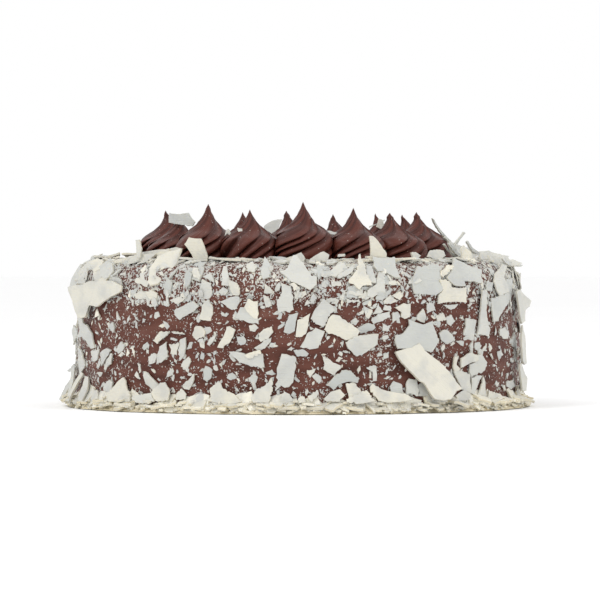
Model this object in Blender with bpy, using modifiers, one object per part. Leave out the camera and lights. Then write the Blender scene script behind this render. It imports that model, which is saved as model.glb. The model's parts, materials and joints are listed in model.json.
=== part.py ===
"""A round layer cake, iced all over, with a ring of piped swirls on top and
white chocolate flakes pressed on its side and heaped on its top and round its foot.

Units are metres, +Z is up, and the origin is the middle of the flat base. The front
of the cake faces -Y. An azimuth is in degrees round +Z from the front, towards +X.
"""

import math
import random

import bmesh
import bpy
from mathutils import Matrix, Vector

# Driving dimensions of the iced cake
CAKE_RADIUS = 0.103
CAKE_HEIGHT = 0.066
SIDE_TAPER = 0.0015
SHOULDER_RADIUS = 0.010
UNEVENNESS = 0.0006
BODY_STEPS = 56

# The collar of flakes that clings round the foot
COLLAR_WIDTH = 0.0062
COLLAR_HEIGHT = 0.0046
COLLAR_RAGGEDNESS = 0.0016
BELOW_BASE = 0.004

# The ring of piped swirls
SWIRL_COUNT = 16
SWIRL_RING_RADIUS = 0.060
SWIRL_FIRST_AZIMUTH = 2.3
SWIRL_RADIUS = 0.0124
SWIRL_RIDGES = 8
SWIRL_RIDGE_DEPTH = 0.17
SWIRL_TWIST = 170.0
GAP = 0.0003

# Height of each swirl, from the front one round towards +X
SWIRL_HEIGHTS = (
    0.0266, 0.0240, 0.0220, 0.0226, 0.0232, 0.0221, 0.0229, 0.0227,
    0.0244, 0.0237, 0.0230, 0.0238, 0.0236, 0.0228, 0.0259, 0.0233,
)

# How wide a swirl is at each share of its height, as a share of its radius
SWIRL_SHAPE = (
    (0.00, 0.86), (0.14, 1.00), (0.32, 0.95), (0.48, 0.74),
    (0.62, 0.50), (0.76, 0.29), (0.90, 0.13),
)

# Flakes
FLAKE_THICKNESS = 0.0011
FLAKE_SINK = 0.00025
FLAKE_CORNERS = (5, 6)
SHOWN_OF_LIFT = 0.55
SHARP_ANGLE = 35.0
SEED = 41

# The largest flakes on the front: azimuth and height of the middle (degrees, mm), length and
# width (mm), turn of the length from level and lift of one long edge (degrees)
LARGE_SIDE_FLAKES = (
    (-66, 50, 21, 16, 20, 8), (-60, 60, 17, 10, 10, 6), (-35, 60, 19, 12, 62, 8),
    (-23, 46, 11, 7, 75, 10), (-12, 45, 14, 10, 55, 8), (-12, 24, 16, 9, 8, 7),
    (-3, 19, 17, 9, 88, 5), (-3, 50, 12, 8, 70, 9), (1, 58, 15, 10, 150, 7),
    (6, 44, 12, 9, 35, 8), (11, 37, 17, 9, 155, 9), (15, 30, 14, 8, 28, 10),
    (4, 33, 10, 8, 60, 6), (11, 15, 14, 6, 22, 8), (22, 58, 12, 8, 80, 8),
    (33, 58, 13, 12, 170, 6), (43, 60, 16, 10, 165, 7), (41, 52, 12, 9, 0, 8),
    (53, 44, 18, 5, 92, 8), (59, 46, 17, 7, 85, 9), (30, 33, 18, 13, 15, 6),
    (48, 21, 12, 8, 25, 10), (75, 44, 16, 8, 80, 12), (-78, 30, 16, 7, 85, 10),
    (-48, 9, 13, 9, 75, 12), (-34, 9, 12, 9, 20, 12), (-18, 8, 14, 9, 30, 12),
    (-8, 9, 12, 10, 60, 12),
)

# The curled slab that leans out at the front right, given as the flakes above but with the lean of
# its length, how far its middle is from the icing, and the depth of its curl along and across
SLAB = (33, 17, 37, 13, 133, 13)
SLAB_CLEAR = 0.0028
SLAB_CURL_ALONG = 0.0018
SLAB_CURL_ACROSS = 0.0015
SLAB_NARROWING = 0.12

# Flakes that stand up on the top, outside the ring of swirls: azimuth (degrees), distance from
# the middle, length and width (mm), and lean towards the middle (degrees)
STANDING_FLAKES = (
    (-32, 85, 14, 11, -6), (25, 82, 14, 9, 8), (72, 84, 12, 9, 10), (-80, 83, 12, 10, 12),
    (118, 84, 13, 9, -10), (160, 83, 12, 9, 8), (-150, 84, 13, 10, 9), (-112, 82, 12, 8, -8),
)
STANDING_SHARE = 0.40

# How many more flakes each part of the cake has, placed by rule
SIDE_FLAKES = 52
RIM_FLAKES = 18
CENTRE_FLAKES = 17
COLLAR_FLAKES = 30


def clear_scene():
    for old in list(bpy.data.objects):
        bpy.data.objects.remove(old)


def new_collection(name):
    made = bpy.data.collections.new(name)
    bpy.context.scene.collection.children.link(made)
    return made


def make_material(name, colour, roughness):
    """A food finish: colour is linear RGB."""
    material = bpy.data.materials.new(name)
    material.use_nodes = True
    shader = material.node_tree.nodes["Principled BSDF"]
    shader.inputs["Base Color"].default_value = (*colour, 1.0)
    shader.inputs["Roughness"].default_value = roughness
    shader.inputs["Metallic"].default_value = 0.0
    material.diffuse_color = (*colour, 1.0)
    return material


def add_object(name, mesh, collection, material=None):
    obj = bpy.data.objects.new(name, mesh)
    if material:
        mesh.materials.clear()
        mesh.materials.append(material)
    collection.objects.link(obj)
    return obj


def outward(azimuth):
    """The level direction out of the cake at an azimuth in degrees."""
    angle = math.radians(azimuth)
    return Vector((math.sin(angle), -math.cos(angle), 0.0))


def uneven(azimuth, height):
    """How far the spread icing stands proud of a true round at this place."""
    angle = math.radians(azimuth)
    wave = math.sin(3 * angle + 1.0) + math.sin(7 * angle + 90 * height) + math.sin(11 * angle + 2.0)
    return UNEVENNESS * wave / 2


def surface_place(azimuth, along):
    """The point, and how steeply the surface faces up (0 side, 1 top), along the icing from the foot."""
    side_length = CAKE_HEIGHT - SHOULDER_RADIUS
    arc_length = SHOULDER_RADIUS * math.pi / 2
    top_radius = CAKE_RADIUS - SIDE_TAPER - SHOULDER_RADIUS
    if along < side_length:
        radius = CAKE_RADIUS - SIDE_TAPER * along / side_length
        height, slope = along, 0.0
    elif along < side_length + arc_length:
        slope = (along - side_length) / SHOULDER_RADIUS
        radius = top_radius + SHOULDER_RADIUS * math.cos(slope)
        height = side_length + SHOULDER_RADIUS * math.sin(slope)
    else:
        slope = math.pi / 2
        radius = max(0.0, top_radius - (along - side_length - arc_length))
        height = CAKE_HEIGHT
    radius += uneven(azimuth, height) * radius / CAKE_RADIUS
    point = outward(azimuth) * radius + Vector((0, 0, height))
    normal = outward(azimuth) * math.cos(slope) + Vector((0, 0, math.sin(slope)))
    return point, normal


def along_top(radius):
    """The distance along the icing from the foot to this radius on the flat top."""
    to_top = CAKE_HEIGHT - SHOULDER_RADIUS + SHOULDER_RADIUS * math.pi / 2
    return to_top + CAKE_RADIUS - SIDE_TAPER - SHOULDER_RADIUS - radius


def facing(point, normal, azimuth):
    """A frame on the surface: X level round the cake, Z out of the icing."""
    angle = math.radians(azimuth)
    level = Vector((math.cos(angle), math.sin(angle), 0.0))
    up = normal.cross(level)
    turned = Matrix((level, up, normal)).transposed().to_4x4()
    return Matrix.Translation(point) @ turned


def body_profile():
    """Half the cake's section, from the middle of the top down its outer side to below the base."""
    points = [(0.0, CAKE_HEIGHT), (0.045, CAKE_HEIGHT), (0.075, CAKE_HEIGHT)]
    top_radius = CAKE_RADIUS - SIDE_TAPER - SHOULDER_RADIUS
    middle = CAKE_HEIGHT - SHOULDER_RADIUS
    for step in range(5):
        angle = math.pi / 2 * (1 - step / 4)
        points.append((top_radius + SHOULDER_RADIUS * math.cos(angle), middle + SHOULDER_RADIUS * math.sin(angle)))
    points += [
        (CAKE_RADIUS - SIDE_TAPER * 0.65, CAKE_HEIGHT * 0.55),
        (CAKE_RADIUS - SIDE_TAPER * 0.30, CAKE_HEIGHT * 0.28),
        (CAKE_RADIUS, COLLAR_HEIGHT * 1.3),
        (CAKE_RADIUS + COLLAR_WIDTH * 0.5, COLLAR_HEIGHT * 0.75),
        (CAKE_RADIUS + COLLAR_WIDTH, COLLAR_HEIGHT * 0.3),
        (CAKE_RADIUS + COLLAR_WIDTH, -BELOW_BASE),
        (0.0, -BELOW_BASE),
    ]
    return points


def turned_body(collection, material):
    """The iced cake as one turned solid, then made a little uneven."""
    profile = bpy.data.meshes.new("body_profile")
    points = body_profile()
    profile.from_pydata(
        [(radius, 0.0, height) for radius, height in points],
        [(i, i + 1) for i in range(len(points) - 1)],
        [],
    )
    turner = add_object("body_turner", profile, collection)
    screw = turner.modifiers.new("turn", "SCREW")
    screw.steps = screw.render_steps = BODY_STEPS
    screw.use_merge_vertices = True
    screw.merge_threshold = 0.00001
    mesh = applied_mesh(turner, "cake")
    bpy.data.objects.remove(turner)
    draws = random.Random(SEED)
    for vertex in mesh.vertices:
        radius = math.hypot(vertex.co.x, vertex.co.y)
        if radius < 0.001:
            continue
        azimuth = math.degrees(math.atan2(vertex.co.x, -vertex.co.y))
        moved = uneven(azimuth, vertex.co.z) * radius / CAKE_RADIUS
        if radius > CAKE_RADIUS + COLLAR_WIDTH * 0.4:
            moved += draws.uniform(-1, 1) * COLLAR_RAGGEDNESS
        vertex.co.x *= 1 + moved / radius
        vertex.co.y *= 1 + moved / radius
    return add_object("cake", mesh, collection, material)


def applied_mesh(obj, name):
    """The object's mesh with its modifiers applied."""
    graph = bpy.context.evaluated_depsgraph_get()
    mesh = bpy.data.meshes.new_from_object(obj.evaluated_get(graph))
    mesh.name = name
    return mesh


def flake_mesh(length, width, draws):
    """One thin broken plate, long along X, with its middle pushed in or out so that it curls."""
    flake = bmesh.new()
    corners = draws.choice(FLAKE_CORNERS)
    made = bmesh.ops.create_circle(flake, cap_ends=True, segments=corners, radius=1.0)
    for vertex in made["verts"]:
        reach = draws.uniform(0.82, 1.12)
        vertex.co.x *= reach * length / 2
        vertex.co.y *= reach * width / 2
    for vertex in bmesh.ops.poke(flake, faces=flake.faces[:])["verts"]:
        vertex.co.z += draws.uniform(-0.05, 0.08) * width
    return plate_mesh(flake, "flake")


def plate_mesh(sheet, name):
    """Makes a sheet into a plate as thick as a flake, level with its own middle, and frees the sheet."""
    bmesh.ops.recalc_face_normals(sheet, faces=sheet.faces[:])
    bmesh.ops.solidify(sheet, geom=sheet.faces[:], thickness=FLAKE_THICKNESS)
    middle = sum(vertex.co.z for vertex in sheet.verts) / len(sheet.verts)
    bmesh.ops.translate(sheet, verts=sheet.verts[:], vec=(0, 0, -middle))
    bmesh.ops.recalc_face_normals(sheet, faces=sheet.faces[:])
    mesh = bpy.data.meshes.new(name)
    sheet.to_mesh(mesh)
    sheet.free()
    return mesh


def add_flake(flakes, material, place, size, turn, lift, draws):
    """Presses one flake on at a place (a frame on the surface), turned and with one long edge lifted."""
    length, width = size
    flake = add_object("flake", flake_mesh(length, width, draws), flakes, material)
    raised = SHOWN_OF_LIFT * abs(math.sin(math.radians(lift))) * width / 2
    pressed = Matrix.Translation((0, 0, FLAKE_THICKNESS / 2 - FLAKE_SINK + raised))
    turned = Matrix.Rotation(math.radians(turn), 4, "Z") @ Matrix.Rotation(math.radians(lift), 4, "X")
    flake.matrix_world = place @ pressed @ turned


def add_large_flakes(flakes, material, draws):
    """The flakes that stand out on the front, each at its own place."""
    for azimuth, height, length, width, turn, lift in LARGE_SIDE_FLAKES:
        point, normal = surface_place(azimuth, height / 1000)
        size = (length / 1000, width / 1000)
        add_flake(flakes, material, facing(point, normal, azimuth), size, turn, lift, draws)


def add_slab(flakes, material):
    """The long slab whose lower end stands away from the icing: a curled sheet made thick."""
    azimuth, height, length, width, turn, lean = SLAB
    slab = bmesh.new()
    bmesh.ops.create_grid(slab, x_segments=5, y_segments=2, size=0.5)
    for vertex in slab.verts:
        share = vertex.co.x + 0.5
        vertex.co.z = SLAB_CURL_ALONG * math.sin(share * math.pi) + SLAB_CURL_ACROSS * (2 * vertex.co.y) ** 2
        vertex.co.x *= length / 1000
        vertex.co.y *= width / 1000 * (1 - SLAB_NARROWING * share)
    point, normal = surface_place(azimuth, height / 1000)
    turned = Matrix.Rotation(math.radians(turn), 4, "Z") @ Matrix.Rotation(math.radians(lean), 4, "Y")
    out = Matrix.Translation((0, 0, SLAB_CLEAR))
    placed = add_object("slab", plate_mesh(slab, "slab"), flakes, material)
    placed.matrix_world = facing(point, normal, azimuth) @ out @ turned


def spread_places(count, draws, low, high, spacing, favour_ends=False):
    """Azimuths and distances along the icing, drawn at random but never closer than the spacing."""
    places = [(a, h / 1000) for a, h, *_ in LARGE_SIDE_FLAKES]
    fixed = len(places)
    for _ in range(count * 60):
        azimuth = draws.uniform(-180, 180)
        share = draws.random()
        if favour_ends and draws.random() < 0.4:
            share = 1 - share * 0.25
        along = low + (high - low) * share
        radius = surface_place(azimuth, along)[0].xy.length
        apart = min(
            math.hypot(math.radians((azimuth - a + 180) % 360 - 180) * radius, along - s) for a, s in places
        )
        if apart > spacing:
            places.append((azimuth, along))
        if len(places) == fixed + count:
            break
    return places[fixed:]


def add_side_flakes(flakes, material, draws):
    """Flakes all round the side, closer together near the shoulder."""
    top = CAKE_HEIGHT - SHOULDER_RADIUS * 0.2
    for azimuth, along in spread_places(SIDE_FLAKES, draws, 0.010, top, 0.0150, favour_ends=True):
        length = draws.uniform(0.009, 0.017)
        size = (length, length * draws.uniform(0.5, 0.8))
        place = facing(*surface_place(azimuth, along), azimuth)
        add_flake(flakes, material, place, size, draws.uniform(0, 180), draws.uniform(4, 14), draws)


def add_top_flakes(flakes, material, draws):
    """Flakes on the flat top, outside and inside the ring of swirls and clear of them."""
    clear_out = SWIRL_RING_RADIUS + SWIRL_RADIUS
    clear_in = SWIRL_RING_RADIUS - SWIRL_RADIUS
    for index in range(RIM_FLAKES):
        azimuth = (index + draws.uniform(-0.3, 0.3)) * 360 / RIM_FLAKES
        length = draws.uniform(0.012, 0.020)
        width = length * draws.uniform(0.45, 0.65)
        radius = clear_out + 0.0075 + draws.uniform(0, 0.007)
        place = facing(*surface_place(azimuth, along_top(radius)), azimuth)
        add_flake(flakes, material, place, (length, width), draws.uniform(-15, 15), -draws.uniform(5, 18), draws)
    turn_step = math.degrees(math.pi * (3 - math.sqrt(5)))
    for index in range(CENTRE_FLAKES):
        radius = (clear_in - 0.0125) * math.sqrt((index + 0.5) / CENTRE_FLAKES)
        azimuth = index * turn_step
        length = draws.uniform(0.014, 0.021)
        width = length * draws.uniform(0.5, 0.75)
        place = facing(*surface_place(azimuth, along_top(radius)), azimuth)
        add_flake(flakes, material, place, (length, width), draws.uniform(0, 180), draws.uniform(8, 28), draws)


def add_standing_flakes(flakes, material, draws):
    """Flakes stuck upright in the top, just outside the swirls."""
    for azimuth, radius, length, width, lean in STANDING_FLAKES:
        middle = CAKE_HEIGHT + length / 1000 * STANDING_SHARE
        point = outward(azimuth) * radius / 1000 + Vector((0, 0, middle))
        upright = Matrix.Rotation(math.radians(90 - lean), 4, "Z")
        standing = add_object("standing", flake_mesh(length / 1000, width / 1000, draws), flakes, material)
        leaning = Matrix.Rotation(math.radians(lean), 4, "X")
        standing.matrix_world = facing(point, outward(azimuth), azimuth) @ leaning @ upright


def add_collar_flakes(flakes, material, draws):
    """Flakes that lean against the foot, half sunk in the collar."""
    for index in range(COLLAR_FLAKES):
        azimuth = (index + draws.uniform(-0.35, 0.35)) * 360 / COLLAR_FLAKES
        length = draws.uniform(0.010, 0.016)
        width = length * draws.uniform(0.5, 0.8)
        point = outward(azimuth) * (CAKE_RADIUS + COLLAR_WIDTH * draws.uniform(0.25, 0.55))
        point.z = COLLAR_HEIGHT * 0.9
        place = facing(point, outward(azimuth), azimuth)
        lean = Matrix.Rotation(-math.radians(draws.uniform(22, 60)), 4, "X")
        add_flake(flakes, material, place @ lean, (length, width), draws.uniform(-40, 40), 0, draws)


def outer_shell(mesh):
    """Keeps the largest closed surface, so that a sealed hollow is filled and a loose scrap dropped."""
    whole = bmesh.new()
    whole.from_mesh(mesh)
    unseen = set(whole.verts)
    shells = []
    while unseen:
        shell = set()
        edge_of_shell = [next(iter(unseen))]
        while edge_of_shell:
            vertex = edge_of_shell.pop()
            if vertex in shell:
                continue
            shell.add(vertex)
            edge_of_shell += [edge.other_vert(vertex) for edge in vertex.link_edges]
        unseen -= shell
        shells.append(shell)
    shells.sort(key=len)
    spare = [vertex for shell in shells[:-1] for vertex in shell]
    bmesh.ops.delete(whole, geom=spare, context="VERTS")
    bmesh.ops.triangulate(whole, faces=whole.faces[:])
    whole.to_mesh(mesh)
    whole.free()


def fuse(body, flakes, cutters):
    """Joins the flakes to the cake in one union and cuts the foot flat at the base."""
    base = bmesh.new()
    bmesh.ops.create_cube(base, size=1.0)
    bmesh.ops.scale(base, verts=base.verts[:], vec=(0.4, 0.4, 0.04))
    bmesh.ops.translate(base, verts=base.verts[:], vec=(0, 0, -0.02))
    mesh = bpy.data.meshes.new("under_base")
    base.to_mesh(mesh)
    base.free()
    cutter = add_object("under_base", mesh, cutters)
    cutter.hide_render = True
    cutter.display_type = "WIRE"
    join = body.modifiers.new("join_flakes", "BOOLEAN")
    join.operand_type = "COLLECTION"
    join.collection = flakes
    join.operation = "UNION"
    join.solver = "EXACT"
    join.material_mode = "TRANSFER"
    cut = body.modifiers.new("flat_base", "BOOLEAN")
    cut.object = cutter
    cut.operation = "DIFFERENCE"
    cut.solver = "EXACT"
    fused = applied_mesh(body, "cake")
    outer_shell(fused)
    body.modifiers.clear()
    old = body.data
    body.data = fused
    bpy.data.meshes.remove(old)
    for flake in list(flakes.objects):
        bpy.data.objects.remove(flake)
    bpy.data.collections.remove(flakes)
    bpy.data.objects.remove(cutter)
    bpy.data.collections.remove(cutters)
    shade(fused)


def shade(mesh):
    """Round surfaces look smooth and broken edges sharp."""
    mesh.shade_smooth()
    mesh.set_sharp_from_angle(angle=math.radians(SHARP_ANGLE))


def swirl_mesh(index, draws):
    """A piped swirl on its own foot at the origin: ridges that climb round it to a fine tip."""
    height = SWIRL_HEIGHTS[index]
    radius = SWIRL_RADIUS * draws.uniform(0.96, 1.03)
    lean = Vector((draws.uniform(-1, 1), draws.uniform(-1, 1), 0)) * 0.0018
    twist = math.radians(SWIRL_TWIST * draws.uniform(0.85, 1.15))
    start = draws.uniform(0, math.tau)
    points_round = 2 * SWIRL_RIDGES
    swirl = bmesh.new()
    rings = []
    for share, wide in SWIRL_SHAPE:
        ring = []
        for point in range(points_round):
            angle = start + twist * share + math.tau * point / points_round
            depth = SWIRL_RIDGE_DEPTH * (1 if point % 2 else -0.35)
            reach = radius * wide * (1 - depth)
            place = Vector((math.cos(angle), math.sin(angle), 0)) * reach + lean * share**2
            place.z = height * share
            ring.append(swirl.verts.new(place))
        rings.append(ring)
    tip = swirl.verts.new(lean + Vector((0, 0, height)))
    for lower, upper in zip(rings, rings[1:]):
        for point in range(points_round):
            after = (point + 1) % points_round
            swirl.faces.new((lower[point], lower[after], upper[after], upper[point]))
    for point in range(points_round):
        swirl.faces.new((rings[-1][point], rings[-1][(point + 1) % points_round], tip))
    swirl.faces.new(reversed(rings[0]))
    bmesh.ops.triangulate(swirl, faces=swirl.faces[:])
    mesh = bpy.data.meshes.new("swirl")
    swirl.to_mesh(mesh)
    swirl.free()
    return mesh


def press_flat(mesh, centre):
    """Where a swirl would run into its neighbours, it is squeezed flat against them."""
    half_step = math.pi / SWIRL_COUNT
    out = centre.normalized()
    level = Vector((-out.y, out.x, 0))
    for vertex in mesh.vertices:
        spot = centre + Vector((vertex.co.x, vertex.co.y, 0))
        limit = spot.dot(out) * math.tan(half_step) - GAP / math.cos(half_step)
        side = spot.dot(level)
        if abs(side) > limit:
            shift = math.copysign(limit, side) - side
            vertex.co += level * shift


def add_swirls(collection, material):
    """The ring of piped swirls, each a little unlike the next."""
    draws = random.Random(SEED + 7)
    for index in range(SWIRL_COUNT):
        azimuth = SWIRL_FIRST_AZIMUTH + index * 360 / SWIRL_COUNT
        centre = outward(azimuth) * SWIRL_RING_RADIUS
        mesh = swirl_mesh(index, draws)
        press_flat(mesh, centre)
        shade(mesh)
        swirl = add_object(f"swirl_{index + 1:02d}", mesh, collection, material)
        swirl.location = centre + Vector((0, 0, CAKE_HEIGHT + GAP))


def main():
    clear_scene()
    cake = new_collection("chocolate_cake")
    flakes = new_collection("flakes")
    icing = make_material("cake_icing", (0.120, 0.056, 0.045), 0.62)
    piped = make_material("piped_icing", (0.092, 0.038, 0.030), 0.42)
    white = make_material("white_chocolate", (0.745, 0.715, 0.610), 0.50)
    body = turned_body(cake, icing)
    draws = random.Random(SEED)
    add_large_flakes(flakes, white, draws)
    add_slab(flakes, white)
    add_side_flakes(flakes, white, draws)
    add_top_flakes(flakes, white, draws)
    add_standing_flakes(flakes, white, draws)
    add_collar_flakes(flakes, white, draws)
    fuse(body, flakes, new_collection("cutters"))
    add_swirls(cake, piped)


main()
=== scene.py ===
"""A round chocolate layer cake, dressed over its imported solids.

Smooth chocolate icing covers the cake. A ring of piped swirls stands on its top, and white
chocolate flakes of every size are pressed on its side and heaped on its top and round its foot.

Lengths are metres unless a name says mm, +Z is up, and the origin is the middle of the flat
base. The front of the cake faces -Y. An azimuth is in degrees round +Z from the front, towards
+X. A distance "along" the icing is measured from the foot up the side, over the shoulder and
across the top towards the middle.
"""

from __future__ import annotations

import json
import logging
import math
import random
from collections.abc import Iterator
from dataclasses import dataclass, field
from enum import Enum

import bpy
import numpy as np
from mathutils import Matrix, Vector, noise

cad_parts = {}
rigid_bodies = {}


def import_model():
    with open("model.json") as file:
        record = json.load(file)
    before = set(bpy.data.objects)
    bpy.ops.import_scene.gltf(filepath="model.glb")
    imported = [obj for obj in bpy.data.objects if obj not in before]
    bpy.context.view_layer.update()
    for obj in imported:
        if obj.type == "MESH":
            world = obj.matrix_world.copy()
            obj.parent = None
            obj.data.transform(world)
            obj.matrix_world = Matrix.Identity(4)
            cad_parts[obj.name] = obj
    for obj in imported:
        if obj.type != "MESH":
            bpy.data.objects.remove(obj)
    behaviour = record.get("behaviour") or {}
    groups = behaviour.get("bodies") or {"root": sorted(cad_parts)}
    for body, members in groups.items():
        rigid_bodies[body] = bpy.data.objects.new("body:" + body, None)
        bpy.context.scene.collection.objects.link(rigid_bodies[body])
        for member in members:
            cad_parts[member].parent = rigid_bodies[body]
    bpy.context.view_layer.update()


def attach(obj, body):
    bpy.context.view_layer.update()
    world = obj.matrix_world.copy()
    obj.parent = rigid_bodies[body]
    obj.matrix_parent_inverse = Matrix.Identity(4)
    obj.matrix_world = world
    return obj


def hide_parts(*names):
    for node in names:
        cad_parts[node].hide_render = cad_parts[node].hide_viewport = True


LOG = logging.getLogger("chocolate_cake")
MM = 0.001
BODY = "root"
SEED = 41
FRONT_REACH = 78.0
MOST_LAYERS = 4
TRIES_FOR_EACH = 25

Colour = tuple[float, float, float]
Material = bpy.types.Material
Pairs = tuple[tuple[float, float], ...]
Socket = bpy.types.NodeSocket


@dataclass(frozen=True)
class PhotoView:
    """Where the photograph was taken from, and what a place in its frame is on the cake."""

    distance: float = 1.70
    eye_height: float = 0.0647
    axis_column: float = 298.0
    horizon_row: float = 265.0
    focal_pixels: float = 3680.0
    frame_pixels: float = 600.0
    sensor_width_mm: float = 36.0

    def at_radius(self, column: float, row: float, radius: float, behind: bool = False) -> Vector:
        """The point seen at a pixel, on an upright drum round the cake's axis.

        Args:
            column: Pixel column in the photograph.
            row: Pixel row in the photograph.
            radius: Radius of the drum.
            behind: Whether the far wall of the drum is meant, and not the near one.

        Returns:
            The point. A pixel beside the drum gives a point on its outermost edge.
        """
        slope = (column - self.axis_column) / self.focal_pixels
        depth = self.distance
        for _ in range(6):
            across = max(-radius, min(radius, slope * depth))
            deep = math.sqrt(radius * radius - across * across)
            depth = self.distance + (deep if behind else -deep)
        height = self.eye_height + (self.horizon_row - row) * depth / self.focal_pixels
        return Vector((across, depth - self.distance, height))

    def on_icing(self, column: float, row: float, cake: CakeShape) -> tuple[float, float]:
        """Where on the icing's side or shoulder a pixel of the photograph falls.

        Args:
            column: Pixel column in the photograph.
            row: Pixel row in the photograph.
            cake: The iced cake.

        Returns:
            The azimuth in degrees and the distance along the icing from the foot.
        """
        along = cake.side_length / 2
        for _ in range(8):
            point = self.at_radius(column, row, cake.radius_at(along))
            along = cake.along_side(point.z)
        return math.degrees(math.atan2(point.x, -point.y)), along

    def on_plane(self, column: float, row: float, point: np.ndarray, normal: np.ndarray) -> np.ndarray:
        """The point seen at a pixel, on a plane.

        Args:
            column: Pixel column in the photograph.
            row: Pixel row in the photograph.
            point: A point of the plane.
            normal: The plane's normal.

        Returns:
            The point.
        """
        across = (column - self.axis_column) / self.focal_pixels
        rise = (self.horizon_row - row) / self.focal_pixels
        way = np.array([across, 1.0, rise])
        eye = np.array([0.0, -self.distance, self.eye_height])
        return eye + way * (normal @ (point - eye)) / (normal @ way)

    def make_camera(self) -> None:
        """Makes the camera of the photograph, with a long lens level with the cake's top."""
        data = bpy.data.cameras.new("photo_camera")
        data.sensor_width = self.sensor_width_mm
        data.lens = self.focal_pixels * self.sensor_width_mm / self.frame_pixels
        data.clip_end = 20.0
        camera = bpy.data.objects.new("photo_camera", data)
        middle = self.frame_pixels / 2
        across = (middle - self.axis_column) * self.distance / self.focal_pixels
        camera.location = (across, -self.distance, self.eye_height)
        dip = math.atan((middle - self.horizon_row) / self.focal_pixels)
        camera.rotation_euler = (math.pi / 2 - dip, 0.0, 0.0)
        bpy.context.scene.collection.objects.link(camera)
        bpy.context.scene.camera = camera


@dataclass(frozen=True)
class CakeShape:
    """The iced cake without its toppings: a tapered drum with a round shoulder, a little uneven."""

    radius: float = 0.103
    height: float = 0.066
    taper: float = 0.0015
    shoulder: float = 0.010
    unevenness: float = 0.0006
    stroke_depth: float = 0.00050
    lump_depth: float = 0.00026
    pit_depth: float = 0.00012

    @property
    def side_length(self) -> float:
        """The length of the straight side, from the foot to the shoulder."""
        return self.height - self.shoulder

    @property
    def top_start(self) -> float:
        """The distance along the icing at which the flat top starts."""
        return self.side_length + self.shoulder * math.pi / 2

    @property
    def top_radius(self) -> float:
        """The radius of the flat top."""
        return self.radius - self.taper - self.shoulder

    @property
    def length(self) -> float:
        """The whole distance along the icing, from the foot to the middle of the top."""
        return self.top_start + self.top_radius

    def along_side(self, height: float) -> float:
        """The distance along the icing to a height on the side or the shoulder.

        Args:
            height: The height over the base.

        Returns:
            The distance.
        """
        if height <= self.side_length:
            return max(0.0, height)
        rise = min(1.0, (height - self.side_length) / self.shoulder)
        return self.side_length + self.shoulder * math.asin(rise)

    def radius_at(self, along: float) -> float:
        """The icing's mean radius at a distance along it."""
        return math.hypot(*self.place(0.0, along)[:2])

    def place(self, azimuth: float, along: float) -> np.ndarray:
        """The point of the smooth icing at an azimuth and a distance along it."""
        return self.places(np.array([azimuth]), np.array([along]))[0][0]

    def uneven(self, azimuth: np.ndarray, height: np.ndarray) -> np.ndarray:
        """How far the spread icing stands proud of a true round, at azimuths and heights."""
        angle = np.radians(azimuth)
        wave = np.sin(3 * angle + 1.0) + np.sin(7 * angle + 90 * height) + np.sin(11 * angle + 2.0)
        return self.unevenness * wave / 2

    def places(self, azimuth: np.ndarray, along: np.ndarray) -> tuple[np.ndarray, np.ndarray]:
        """Points on the icing.

        Args:
            azimuth: Azimuths in degrees.
            along: Distances along the icing from the foot.

        Returns:
            The points and the directions out of the icing there, a row each.
        """
        angle = np.radians(azimuth)
        arc = np.clip((along - self.side_length) / self.shoulder, 0.0, math.pi / 2)
        height = np.clip(along, None, self.side_length) + self.shoulder * np.sin(arc)
        on_side = self.radius - self.taper * along / self.side_length
        above = self.top_radius + self.shoulder * np.cos(arc) - np.clip(along - self.top_start, 0, None)
        radius = np.maximum(0.0, np.where(along < self.side_length, on_side, above))
        radius = radius + self.uneven(azimuth, height) * radius / self.radius
        out = np.stack([np.sin(angle), -np.cos(angle), np.zeros_like(angle)], axis=1)
        up = np.array([[0.0, 0.0, 1.0]])
        points = out * radius[:, None] + up * height[:, None]
        normals = out * np.cos(arc)[:, None] + up * np.sin(arc)[:, None]
        return points, normals

    def relief(self, points: np.ndarray) -> np.ndarray:
        """How far the marks of the spatula, lumps and pits stand out of the icing at points.

        Args:
            points: The points, a row each.

        Returns:
            The height of the relief at each.
        """
        rise = np.empty(len(points))
        for index, (x, y, z) in enumerate(points):
            stroke = noise.noise(Vector((x * 34, y * 34, z * 120)))
            lump = noise.noise(Vector((x * 150, y * 150, z * 170)) + Vector((7.0, 3.0, 1.0)))
            pit = noise.noise(Vector((x * 420, y * 420, z * 420)) + Vector((1.0, 9.0, 4.0)))
            rise[index] = self.stroke_depth * stroke + self.lump_depth * lump + self.pit_depth * pit
        return rise

    def frames(self, azimuth: np.ndarray, along: np.ndarray) -> tuple[np.ndarray, np.ndarray]:
        """Places on the finished icing and the directions there.

        Args:
            azimuth: Azimuths in degrees.
            along: Distances along the icing from the foot.

        Returns:
            The points, and for each point a 3 by 3 array whose rows are level round the cake,
            up the icing and out of it.
        """
        points, normals = self.places(azimuth, along)
        points = points + normals * self.relief(points)[:, None]
        angle = np.radians(azimuth)
        level = np.stack([np.cos(angle), np.sin(angle), np.zeros_like(angle)], axis=1)
        up = np.cross(normals, level)
        return points, np.stack([level, up, normals], axis=1)


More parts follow.
